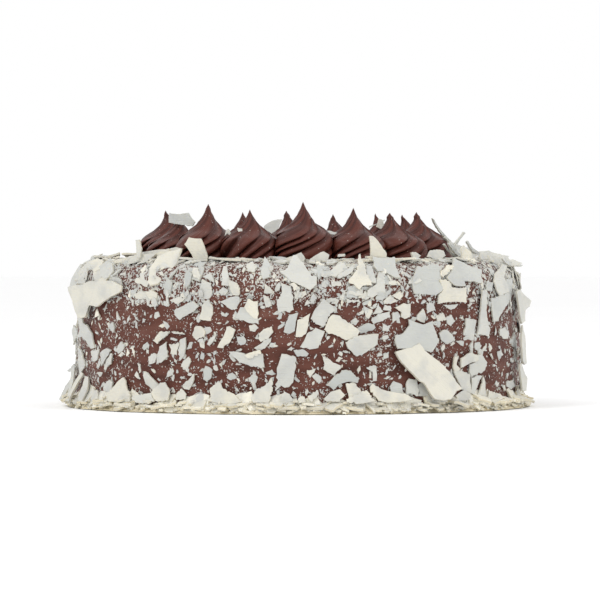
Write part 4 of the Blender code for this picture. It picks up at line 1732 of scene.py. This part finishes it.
@dataclass
class Crumbs:
    """Crumbs of white chocolate on the icing: counts for each band, sizes in mm."""

    cake: CakeShape
    bands: tuple[tuple[int, float, float], ...] = (
        (1300, 0.0, 12.0), (5300, 8.0, 56.0), (3700, 48.0, 74.0), (1300, 70.0, 96.0), (400, 96.0, 162.0),
    )
    sizes: tuple[float, float] = (0.35, 1.7)

    def build(self, material: Material) -> None:
        """Makes all crumbs as one piece.

        Args:
            material: The white chocolate.
        """
        draws = random.Random(SEED + 90)
        shapes = crumb_shapes(draws, 14)
        heap = Heap()
        rim = np.full(6, 0.4)
        low_size, high_size = self.sizes
        for count, low, high in self.bands:
            azimuths, alongs = [], []
            while len(azimuths) < count:
                azimuth = draws.uniform(-180, 180)
                along = draws.uniform(low, high) * MM
                spot = Vector(self.cake.place(azimuth, along))
                cloud = noise.noise(spot * 60) + 0.7 * noise.noise(spot * 170)
                if draws.random() < 0.5 + 0.9 * cloud:
                    azimuths.append(azimuth)
                    alongs.append(along)
            points, frames = self.cake.frames(np.array(azimuths), np.array(alongs))
            for point, frame in zip(points, frames):
                size = (low_size + (high_size - low_size) * draws.random() ** 2.6) * MM
                level = Matrix.Rotation(draws.uniform(0, math.tau), 3, "Z")
                tumble = level @ Matrix.Rotation(draws.uniform(-0.6, 0.6), 3, "X")
                local = draws.choice(shapes) @ np.array(tumble).T * size
                local[:, 2] += size * 0.14
                heap.add(point + local @ frame, CRUMB_FACES, drawn_tone(draws, 0.45, 0.2), rim, np.zeros(6))
        heap.build("white_crumbs", material)


BROKEN = (
    Cut.PLATE, Cut.PLATE, Cut.BLOCK, Cut.SLANT, Cut.SLANT, Cut.WEDGE, Cut.WEDGE, Cut.PENTAGON,
    Cut.TRIANGLE, Cut.LEAF, Cut.STRIP, Cut.STRIP, Cut.SHARD, Cut.FAN,
)
TINY_CUTS = (Cut.SLANT, Cut.WEDGE, Cut.TRIANGLE, Cut.LEAF, Cut.STRIP, Cut.STRIP, Cut.SHARD, Cut.DIAMOND)
SMALL_CUTS = (*TINY_CUTS, Cut.PLATE, Cut.SHARD, Cut.SPIKED)


@dataclass
class SideFlakes:
    """The flakes on the side and the shoulder: those that the photograph shows, and the rest."""

    cake: CakeShape
    view: PhotoView
    wrap_azimuth: float = 56.0
    large_mm: float = 5.0
    broad_mm: float = 11.0
    thick_mm: float = 0.75
    thin_mm: float = 0.55
    scatters: tuple[Scatter, ...] = (
        Scatter(
            54, 9, 54, (8, 18), (0.45, 0.75), (4, 12), Grade.LARGE, BROKEN, 9.0, 0.0, 0.65, 1.6, 1.0, 0.0,
        ),
        Scatter(
            46, 54, 70, (8, 17), (0.45, 0.8), (6, 22), Grade.LARGE, BROKEN, 7.0, 0.0, 0.65, 1.0, 1.0, 0.0,
        ),
        Scatter(
            115, 6, 56, (3.6, 8.0), (0.3, 0.7), (4, 18), Grade.MEDIUM, BROKEN, 3.0, 0.5, 0.6, 1.15, 1.0, 0.12,
        ),
        Scatter(
            190, 50, 72, (3.6, 8.5), (0.3, 0.7), (4, 24), Grade.MEDIUM, BROKEN, 2.2, 0.0, 0.6, 0.5, 1.0, 0.6,
        ),
        Scatter(440, 5, 60, (2.2, 4.6), (0.3, 0.7), (3, 22), Grade.SMALL, SMALL_CUTS, 1.6, 0.4, 0.5, 0.8),
        Scatter(850, 3, 56, (1.0, 3.0), (0.22, 0.65), (2, 26), Grade.SMALL, SMALL_CUTS, 0.0, 0.75, 0.45, 0.6),
        Scatter(1100, 47, 73, (1.6, 4.4), (0.25, 0.7), (2, 36), Grade.SMALL, SMALL_CUTS, 0.0, 0.2, 0.5, 0.3),
    )
    shards: tuple[Scatter, ...] = (
        Scatter(280, 24, 52, (2.2, 5.2), (0.35, 0.75), (2, 12), Grade.SMALL, SMALL_CUTS, 1.2, 0.5, 0.5, 0.9),
        Scatter(5000, 48, 74, (0.9, 3.0), (0.35, 0.8), (2, 30), Grade.TINY, TINY_CUTS, 0.0, 0.15, 0.45, 0.2),
        Scatter(900, 4, 50, (0.9, 2.4), (0.3, 0.8), (2, 30), Grade.TINY, TINY_CUTS, 0.0, 0.75, 0.45, 0.4),
    )

    def build(self, presser: Presser, material: Material) -> None:
        """Makes the side's flakes as three objects: those that the photograph shows, strewn ones and shards.

        Args:
            presser: What presses them on.
            material: The white chocolate.
        """
        shown = Heap()
        for traced in (*TRACED_SHOULDER, *TRACED_LEFT, *TRACED_RIGHT, *TRACED_FOOT):
            self.press_traced(presser, shown, traced)
        shown.build("front_flakes", material)
        presser.strew_all("side_flakes", self.scatters, material)
        presser.strew_all("side_shards", self.shards, material)

    def press_traced(self, presser: Presser, heap: Heap, traced: Traced) -> None:
        """Presses on one flake whose corners are traced.

        Args:
            presser: What presses it on.
            heap: The heap that it joins.
            traced: The flake.
        """
        seen = pixels(traced.corners)
        spots = np.array([self.view.on_icing(column, row, self.cake) for column, row in seen])
        azimuth, along = spots.mean(axis=0)
        radius = self.cake.radius_at(along)
        corners = np.column_stack([np.radians(spots[:, 0] - azimuth) * radius, spots[:, 1] - along]) / MM
        corners = anticlockwise(corners)
        length, width = np.ptp(corners, axis=0)
        grade = Grade.LARGE if max(length, width) > self.large_mm else Grade.MEDIUM
        thickness = self.thick_mm if grade is Grade.LARGE else self.thin_mm
        curl = traced.curl if abs(azimuth) < self.wrap_azimuth else -self.cake.radius / MM
        flake = Flake(length, width, Cut.PLATE, thickness, curl, traced.curl_turn, 0.085, traced.tone)
        lie = Lie(lift=traced.lift, raised=traced.raised)
        presser.seen.append((*self.cake.place(azimuth, along), (length + width) / 4 * MM))
        if max(length, width) > self.broad_mm:
            grade = Grade.BROAD
        presser.press(heap, flake, lie, azimuth, along, grade, corners)


@dataclass(frozen=True)
class SeenPlate:
    """A plate whose outline can be followed in the photograph, given as a traced flake's is.

    Its plane passes through the point seen at its middle on an upright drum of its radius in mm.
    It faces an azimuth and an elevation in degrees.
    """

    middle: tuple[float, float]
    radius: float
    facing: float
    outline: tuple[float, ...]
    elevation: float = 0.0
    thickness: float = 0.9
    tone: float = 0.6
    curl: float = 90.0
    curl_turn: float = 0.0
    grain_turn: float = 0.0
    behind: bool = False


# The plates that stand out most: the long slab on the right and the broad plate on the left rim
BROAD_PLATES = (
    SeenPlate((428, 372), 107.0, 24, (
        394, 352, 403, 349, 411, 347.5, 418.6, 343.3, 431, 356, 443.6, 366, 454, 378.6, 461.4, 389.3,
        456, 391.5, 450.7, 400, 443.6, 401.3, 433.8, 399, 423, 383, 419, 381, 409.6, 371.4, 400.7, 362.5,
    ), 10, 1.5, 0.8, 150, -42, -42),
    SeenPlate((93, 297), 104.4, -56, (
        66.1, 286.7, 75.3, 284.8, 85.2, 282.9, 92.1, 280.6, 103.6, 280.2, 110.5, 280.6, 120.4, 286,
        119.7, 291.3, 113.6, 295.1, 102.8, 302, 96.7, 307, 86.8, 305.5, 86, 317.3, 77.6, 318.1, 74.5, 311.2,
        71.5, 300.5,
    ), 4, 1.2, 0.75, -170, 0, 10),
    SeenPlate((408, 336), 104.4, 28, (
        408.8, 319.3, 423, 324.6, 432, 321, 433.8, 328, 438.7, 341, 431, 352.7, 403.4, 348.7, 397, 349,
        394, 340, 395.4, 334.8, 403.4, 333, 409.6, 325,
    ), 2, 0.9, 0.12, 120, 0, 5),
)

# The plates heaped on the left shoulder
SHOULDER_PLATES = (
    SeenPlate((91, 272), 98.5, -56, (
        77, 284, 88, 264, 95, 259.3, 99, 262, 98, 272, 104, 281,
    ), 38, 1.0, 0.55),
    SeenPlate((113, 272), 98.5, -44, (
        106, 262, 111, 258.5, 114, 262, 118, 268, 121, 275, 119, 284, 112, 279, 105, 270,
    ), 30, 1.0, 0.45),
    SeenPlate((165, 268), 98.0, -30, (
        158, 257, 171.5, 251.5, 182, 249, 178, 265.5, 166, 276, 162, 280.5, 158.5, 284.5, 150.5, 286.5,
        149, 283.5, 150.5, 268.5,
    ), 30, 1.2, 0.8, 45),
    SeenPlate((145, 279), 100.5, -34, (
        141, 273, 149, 271.5, 149, 283.5, 148, 287.5, 143.5, 286, 141, 284,
    ), 20, 1.0, 0.6, 60),
    SeenPlate((141, 258), 90.0, -34, (
        112, 262, 126, 258.5, 171, 249, 172, 253, 150, 258.5, 128, 263, 114, 265,
    ), 12, 1.4, 0.85, 200),
    SeenPlate((152, 257), 86.0, -30, (
        123, 262, 142.5, 252.5, 160, 249.5, 177.5, 247.5, 184, 249, 178, 256, 160, 264, 125, 266,
    ), 14, 1.3, 0.6, 120),
    SeenPlate((133, 262), 92.0, -38, (
        108, 266, 122, 259, 140, 255, 158, 255, 150, 262, 132, 268, 112, 270,
    ), 24, 1.2, 0.7, 120),
    SeenPlate((84, 273), 99.5, -60, (
        75.5, 281, 81, 270, 88, 262.5, 93, 262, 92, 271, 88, 281,
    ), 24, 1.0, 0.6, 50),
    SeenPlate((97, 265), 99.0, -56, (89.5, 263, 98, 258.5, 104.5, 261, 101, 270, 94, 273), 36, 1.0, 0.85),
    SeenPlate((107, 269), 100.0, -50, (
        100, 267, 107, 261.5, 113, 263, 114, 272, 108, 279, 101, 277,
    ), 26, 1.0, 0.45, 60),
    SeenPlate((101, 277), 101.5, -54, (94, 273, 103, 270, 111, 277, 106, 282.5, 95, 281.5), 22, 1.0, 0.8),
    SeenPlate((139.5, 246), 92.0, -30, (136, 240, 140, 239.5, 142, 249, 141, 258, 137, 258), 4, 0.9, 0.6),
)

# The flakes that stand in the top among the swirls
STANDING_PLATES = (
    SeenPlate((199, 250), 85.0, -28, (
        185.1, 244.4, 189.3, 237.4, 201.3, 238.6, 204.6, 246.1, 208.4, 260.2, 207.1, 263.5, 198.8, 262.7,
        193.8, 258.5,
    ), 6, 1.0, 0.85, 60),
    SeenPlate((182, 218), 60.4, -20, (
        169.6, 212.9, 188.9, 212.9, 195.9, 222, 193, 226.6, 179.8, 224.5, 169, 222.9,
    ), 8, 0.9, 0.15, 90),
    SeenPlate((272, 232), 76.0, 4, (
        262.8, 233, 264, 226, 272, 221, 282, 219.6, 280, 224, 274, 236, 272, 262, 265, 262,
    ), 24, 0.9, 0.4, 80, behind=True),
    SeenPlate((376, 250), 85.0, 22, (
        369.3, 235.9, 372.9, 236, 386.7, 253.8, 385.8, 263, 369.7, 263,
    ), 5, 0.9, 0.85, 200),
    SeenPlate((415, 255), 88.0, 40, (410.8, 252.5, 415.7, 252.5, 420.6, 256, 418, 258.5, 413, 261), 15),
    SeenPlate((436, 253), 86.0, 48, (427, 257, 430, 250.5, 436, 249.7, 443, 251, 445, 256, 436, 261), 20),
    SeenPlate((466, 256), 91.0, 55, (460.8, 248, 463, 245.3, 470, 251.6, 475, 267, 463, 267), 8, 0.9, 0.9),
    SeenPlate((330.5, 232.5), 62.4, 8, (324, 231, 330, 231, 337, 233, 335, 235, 325, 234), 20, 0.8, 0.3),
    SeenPlate((228, 232), 62.4, -22, (225, 236, 227.5, 229, 229, 229, 232, 236, 230, 237, 228, 232), 10),
    SeenPlate((380, 223), 54.0, 20, (
        376, 227, 378.5, 219, 382, 219.5, 384.4, 228, 381, 229,
    ), 0, 0.8, behind=True),
    SeenPlate((376, 224.5), 53.0, 20, (
        369, 227.9, 369, 226.3, 384.6, 219.6, 384.4, 221,
    ), 0, 0.8, 0.3, behind=True),
    SeenPlate((296, 256), 88.0, -4, (
        284, 262, 286, 258.5, 296, 254.8, 301.5, 252.5, 305.7, 259, 303, 263,
    ), 14, 0.9, 0.7),
    SeenPlate((320, 256), 88.0, 10, (
        307, 262, 310, 259, 318, 254, 323.5, 251.6, 329.3, 255, 328, 262,
    ), 16, 0.9, 0.7),
    SeenPlate((341.5, 255.4), 86.0, 22, (338, 254.4, 345, 254, 345, 256.4, 338, 257), 10, 0.8),
    SeenPlate((240, 230), 66.2, -16, (237.6, 228, 242.5, 229, 242.7, 231.5, 238.5, 232), 20, 0.7),
)

# The slivers: long thin curls
SLIVERS = (
    SeenPlate((440, 230), 72.0, 62, (431, 218.3, 432.6, 219, 450, 241.4, 448.4, 243), 0, 0.8, 0.1),
    SeenPlate((452, 246), 80.0, 62, (443, 237.4, 444.5, 236.6, 462, 255.6, 460.4, 257), 0, 0.8, 0.5),
    SeenPlate((455, 250), 84.0, 62, (447, 243.6, 449, 243, 463, 258.4, 461, 260), 0, 0.8, 0.1),
    SeenPlate((450, 251), 82.0, 62, (441.6, 244.4, 443, 243.6, 459.4, 259.6, 457, 260.4), 0, 0.8, 0.3),
    SeenPlate((459.5, 237.5), 80.0, 60, (453.6, 243.4, 463, 231.8, 464.8, 233, 457, 243.8), 0, 0.8, 0.3),
    SeenPlate((470, 246), 86.0, 62, (465.4, 241.6, 467, 240.6, 479, 253, 477, 255), 0, 0.8, 0.2),
    SeenPlate((455, 251), 81.0, 62, (447, 240, 453, 243, 463, 258, 460, 263, 452, 255), 10, 0.9, 0.5),
    SeenPlate((466, 254), 84.0, 50, (454, 243.5, 468.7, 248.6, 478, 254, 470, 262, 458, 260), 35, 1.0, 0.5),
    SeenPlate((492, 257), 90.0, 55, (
        477, 253, 488.7, 250.6, 498, 254.6, 507.5, 258, 505, 264, 480, 264,
    ), 40, 1.0, 0.6),
    SeenPlate((508, 261.5), 99.0, 72, (496.6, 258.6, 498, 256.8, 519, 265, 517.8, 266.8), 0, 0.8, 0.4),
    SeenPlate((523, 303), 105.2, 68, (
        514, 292, 519, 289.5, 524.5, 295, 529.5, 301, 528, 307, 524.3, 311, 524, 321, 521, 324, 518, 308,
    ), 0, 0.9, 0.6),
    SeenPlate((504, 261), 97.0, 60, (
        486, 256.5, 497, 256.5, 512, 261, 519, 265.5, 511, 267, 500, 266, 488, 263,
    ), 30, 1.2, 0.6, 90),
    SeenPlate((523.6, 345), 105.5, 76, (
        522, 325, 524, 335.7, 525.7, 363.4, 524, 364.7, 521.7, 360.7, 520.8, 347,
    ), 0, 0.9, 0.6),
    SeenPlate((522.6, 378), 106.4, 70, (518.6, 364, 521, 363, 526.4, 378, 525.6, 391, 522, 391), 0, 0.9),
    SeenPlate((69, 384), 105.6, -62, (76, 371, 78, 373, 70, 388, 62, 402, 60, 400, 66, 386), 20, 0.9, 0.4),
    SeenPlate((76, 384), 105.4, -56, (82, 372, 84, 374, 76, 388, 69, 402, 66, 401, 73, 386), 20, 0.9, 0.7),
    SeenPlate((84, 386), 105.2, -50, (86, 376, 89, 377, 88, 390, 82, 402, 78, 401, 82, 388), 18, 0.9, 0.6),
    SeenPlate((73, 378), 104.8, -58, (72, 366, 75, 367, 74, 382, 71, 398, 68, 397, 71, 380), 14, 0.9, 0.5),
    SeenPlate((71, 368), 105.0, -66, (67.5, 371, 74.5, 364, 77, 367, 72.5, 371.5), 10, 0.8, 0.1),
)


@dataclass
class StandingFlakes:
    """The plates and slivers whose outlines the photograph shows, each set on its own plane."""

    view: PhotoView
    broad_mm: float = 15.0

    def build(self, cutter: FlakeCutter, material: Material) -> None:
        """Makes them as one piece.

        Args:
            cutter: What cuts them.
            material: The white chocolate.
        """
        heap = Heap()
        for seen in (*BROAD_PLATES, *SHOULDER_PLATES, *STANDING_PLATES, *SLIVERS):
            self.set_plate(heap, cutter, seen)
        heap.build("standing_flakes", material)

    def set_plate(self, heap: Heap, cutter: FlakeCutter, seen: SeenPlate) -> None:
        """Sets one plate on its plane.

        Args:
            heap: The heap that it joins.
            cutter: What cuts it.
            seen: The plate.
        """
        turn = math.radians(seen.facing)
        rise = math.radians(seen.elevation)
        flat = math.cos(rise)
        normal = np.array([math.sin(turn) * flat, -math.cos(turn) * flat, math.sin(rise)])
        level = np.array([math.cos(turn), math.sin(turn), 0.0])
        axes = np.array([level, np.cross(normal, level)])
        middle = np.array(self.view.at_radius(*seen.middle, seen.radius * MM, seen.behind))
        spots = [self.view.on_plane(column, row, middle, normal) for column, row in pixels(seen.outline)]
        corners = (np.array(spots) - middle) @ axes.T / MM
        centre = corners.mean(axis=0)
        corners = anticlockwise(corners - centre)
        length, width = np.ptp(corners, axis=0)
        flake = Flake(length, width, Cut.PLATE, seen.thickness, seen.curl, seen.curl_turn, 0.035, seen.tone)
        grade = Grade.BROAD if max(length, width) > self.broad_mm else Grade.LARGE
        local = cutter.plate(flake, grade, corners)
        grain_turn = math.radians(seen.grain_turn)
        grain = (local[:, 1] * math.cos(grain_turn) - local[:, 0] * math.sin(grain_turn)) / MM
        world = middle + (local[:, :2] + centre * MM) @ axes + local[:, 2:] * normal
        heap.add_plate(world, grade, seen.tone, grain)


@dataclass
class TopFlakes:
    """The flakes that lie on the top, outside the ring of swirls and heaped inside it."""

    cake: CakeShape
    rim_scatters: tuple[Scatter, ...] = (
        Scatter(
            105, 70, 88, (8, 16), (0.45, 0.75), (6, 24), Grade.LARGE, BROKEN, 4.5, 0.0, 0.95, 0.0, 0.22,
            tone=0.66,
        ),
        Scatter(
            150, 68, 90, (4, 9), (0.35, 0.75), (6, 40), Grade.MEDIUM, BROKEN, 2.0, 0.0, 0.85, 0.0, 0.30,
            tone=0.66,
        ),
        Scatter(
            420, 66, 94, (1.6, 5), (0.25, 0.7), (4, 50), Grade.SMALL, SMALL_CUTS, 0.0, 0.0, 0.6, tone=0.66,
        ),
    )
    centre_scatters: tuple[Scatter, ...] = (
        Scatter(54, 116, 163, (11, 20), (0.5, 0.8), (6, 24), Grade.LARGE, BROKEN, 5.0, 0.0, 1.0, tone=0.78),
        Scatter(120, 114, 163, (5, 11), (0.4, 0.8), (8, 34), Grade.MEDIUM, BROKEN, 2.4, 0.0, 0.9, tone=0.78),
        Scatter(
            200, 112, 163, (1.8, 5), (0.3, 0.7), (6, 50), Grade.SMALL, SMALL_CUTS, 0.0, 0.0, 0.7, tone=0.78,
        ),
    )

    def build(self, presser: Presser, material: Material) -> None:
        """Makes the top's flakes as two objects: those outside the ring of swirls and those inside it.

        Args:
            presser: What presses them on.
            material: The white chocolate.
        """
        presser.strew_all("rim_flakes", self.rim_scatters, material)
        presser.strew_all("centre_flakes", self.centre_scatters, material)


@dataclass(frozen=True)
class Stack:
    """Flakes of one kind at the foot: lengths in mm, leans in degrees off upright, bottoms as shares."""

    count: int
    lengths: tuple[float, float]
    slender: tuple[float, float]
    lean: tuple[float, float]
    bottoms: tuple[float, float]
    grade: Grade
    thickness: float


@dataclass
class FootCollar:
    """The flakes that cling round the foot, leaning on the side."""

    cake: CakeShape
    width: float = 0.0062
    height: float = 0.0046
    overhang: float = 0.0016
    bed_rim_glow: float = 1.35
    steps_round: int = 450
    steps_across: int = 10
    stacks: tuple[Stack, ...] = (
        Stack(70, (8, 14), (0.5, 0.85), (12, 38), (-0.1, 0.2), Grade.LARGE, 1.0),
        Stack(70, (7, 13), (0.4, 0.8), (66, 86), (0.1, 0.7), Grade.LARGE, 1.2),
        Stack(150, (4.5, 8.5), (0.4, 0.85), (8, 42), (-0.1, 0.6), Grade.MEDIUM, 0.85),
        Stack(270, (3.5, 8), (0.35, 0.8), (60, 88), (0.0, 0.85), Grade.MEDIUM, 1.0),
        Stack(760, (1.6, 4.2), (0.3, 0.75), (10, 88), (0.0, 1.1), Grade.SMALL, 0.75),
    )

    def build(self, presser: Presser, material: Material) -> None:
        """Makes the bed of crumbs at the foot and the flakes on it.

        Args:
            presser: What cuts the flakes.
            material: The white chocolate.
        """
        self.bed(material)
        heap = Heap()
        for stack in self.stacks:
            for _ in range(stack.count):
                self.lean_one(presser, heap, stack)
        heap.build("foot_flakes", material)

    def bed(self, material: Material) -> None:
        """Makes a low ragged ring of packed crumbs.

        Args:
            material: The white chocolate.
        """
        points, tones = [], []
        for across in range(self.steps_across):
            share = across / (self.steps_across - 1)
            for step in range(self.steps_round):
                angle = math.tau * step / self.steps_round
                way = Vector((math.sin(angle), -math.cos(angle), 0.0))
                ragged = 1 + 0.30 * noise.noise(way * 9) + 0.20 * noise.noise(way * 31)
                radius = self.cake.radius - 0.002 + self.width * share * min(1.0, 0.86 * ragged)
                heaped = 0.7 + 0.5 * noise.noise(way * 18 + Vector((share, 5, 0)))
                rise = self.height * (1 - share ** 1.4) * heaped
                spot = way * radius + Vector((0, 0, rise))
                rough = noise.cell(spot * 420) * 0.9 + noise.noise(spot * 1150) * 0.6
                spot.z = max(0.0, spot.z + rough * MM * (1 - share ** 4))
                points.append(spot)
                # Painted light: the bed is drawn near the brightest cream to offset the shade at the foot
                tones.append(0.97 + 0.2 * noise.noise(spot * 300))
        faces = np.concatenate(bands(self.steps_round, self.steps_across, flip=True))
        array = np.array(points)
        # The whole bed takes the painted yellow rim glow, standing in for light glowing and shade between its
        # crumbs
        rims = np.full(len(array), self.bed_rim_glow)
        values = {"tone": np.array(tones), "rim": rims, "grain": np.zeros(len(array))}
        obj = mesh_object("foot_bed", array, faces, material, values, sharp=35.0)
        stand_for(obj, "white_chocolate", "cake")
        LOG.info("foot_bed: %d triangles", len(faces))

    def lean_one(self, presser: Presser, heap: Heap, stack: Stack) -> None:
        """Leans one flake on the foot.

        Args:
            presser: What cuts it.
            heap: The heap that it joins.
            stack: What kind of flake it is and how it lies.
        """
        draws = presser.draws
        low, high = stack.lengths
        length = low + (high - low) * draws.random() ** 1.4
        # Painted light: foot flakes are drawn near the brightest cream to offset the shade at the foot
        flake = Flake(
            length=length,
            width=length * draws.uniform(*stack.slender),
            cut=draws.choice(BROKEN),
            thickness=stack.thickness,
            curl=draws.choice((-1, 1)) * draws.uniform(2.5, 9) * length / 2,
            curl_turn=draws.uniform(-90, 90),
            tone=drawn_tone(draws, 0.96, 0.08),
        )
        local = presser.cutter.plate(flake, stack.grade)
        grain = local[:, 1] / MM + draws.uniform(0, 100)
        lean = draws.uniform(*stack.lean)
        local = local @ spin(("X", -lean), ("Y", draws.uniform(-9, 9)), ("Z", draws.uniform(0, 360)))
        angle = draws.uniform(0, math.tau)
        out = Vector((math.sin(angle), -math.cos(angle), 0.0))
        level = Vector((math.cos(angle), math.sin(angle), 0.0))
        frame = np.array([level, Vector((0, 0, 1)), out])
        upright = math.cos(math.radians(lean))
        world = local @ frame
        bottom = draws.uniform(*stack.bottoms)
        spare = (1 - upright) * draws.uniform(0.1, 0.8) * (1 - 0.7 * max(0.0, bottom))
        place = out * (self.cake.radius + 0.0006 + spare * self.width)
        world += np.array([place.x, place.y, 0.0])
        world[:, 2] += bottom * self.height - world[:, 2].min()
        most = self.cake.radius + self.width + self.overhang
        world[:, :2] *= np.minimum(1.0, most / np.hypot(world[:, 0], world[:, 1]))[:, None]
        # Foot flakes take a stronger painted yellow rim glow and shade
        heap.add_plate(world, stack.grade, flake.tone, grain, draws.uniform(0.95, 1.50))


@dataclass
class Studio:
    """A plain pale floor and soft light from all round, a little stronger from the upper left."""

    floor_size: float = 60.0
    floor_tone: float = 0.985
    sky: float = 1.0
    key_place: tuple[float, float, float] = (-0.85, -1.05, 1.25)
    key_size: float = 0.55
    key_power: float = 9.0
    fill_place: tuple[float, float, float] = (1.05, -0.8, 0.75)
    fill_size: float = 0.5
    fill_power: float = 4.0

    def build(self) -> None:
        """Makes the floor, the sky and the lamps, and sets how brightness is shown."""
        self.floor()
        world = bpy.data.worlds.new("studio")
        world.use_nodes = True
        background = world.node_tree.nodes["Background"]
        background.inputs["Color"].default_value = (1.0, 1.0, 1.0, 1.0)
        background.inputs["Strength"].default_value = self.sky
        bpy.context.scene.world = world
        self.lamp("key_light", self.key_place, self.key_size, self.key_power)
        self.lamp("fill_light", self.fill_place, self.fill_size, self.fill_power)
        view = bpy.context.scene.view_settings
        view.view_transform = "Standard"
        view.look = "None"

    def floor(self) -> None:
        """A pale matt floor under the cake."""
        half = self.floor_size / 2
        corners = np.array([(-half, -half, 0), (half, -half, 0), (half, half, 0), (-half, half, 0)], float)
        recipe = Recipe("pale_floor", 0.9, 0.1)
        tone = self.floor_tone
        cloud = recipe.ramp(recipe.noise(3.0, 2.0), ((0.3, (tone * 0.99,) * 3), (0.7, (tone,) * 3)))
        floor = mesh_object("studio_floor", corners, np.array([[0, 1, 2, 3]]), recipe.finish(cloud))
        floor.location.z = -0.0003

    def lamp(self, name: str, place: tuple[float, float, float], size: float, power: float) -> None:
        """A square soft lamp that points at the cake.

        Args:
            name: Its name.
            place: Where it hangs.
            size: The side of its square.
            power: Its power in watts.
        """
        data = bpy.data.lights.new(name, "AREA")
        data.shape = "SQUARE"
        data.size = size
        data.energy = power
        lamp = bpy.data.objects.new(name, data)
        lamp.location = place
        aim = Vector((0.0, 0.0, 0.04)) - Vector(place)
        lamp.rotation_euler = aim.to_track_quat("-Z", "Y").to_euler()
        bpy.context.scene.collection.objects.link(lamp)


def main() -> None:
    """Builds the cake's pieces in order."""
    logging.basicConfig(level=logging.INFO, format="%(name)s: %(message)s")
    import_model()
    view = PhotoView()
    view.make_camera()
    cake = CakeShape()
    Studio().build()
    IcedBody(cake).build(IcingFinish())
    SwirlRing(cake).build(PipedFinish())
    white = WhiteChocolateFinish().make()
    presser = Presser(cake, SEED)
    SideFlakes(cake, view).build(presser, white)
    StandingFlakes(view).build(presser.cutter, white)
    TopFlakes(cake).build(presser, white)
    FootCollar(cake).build(presser, white)
    Crumbs(cake).build(white)


if __name__ == "__main__":
    main()
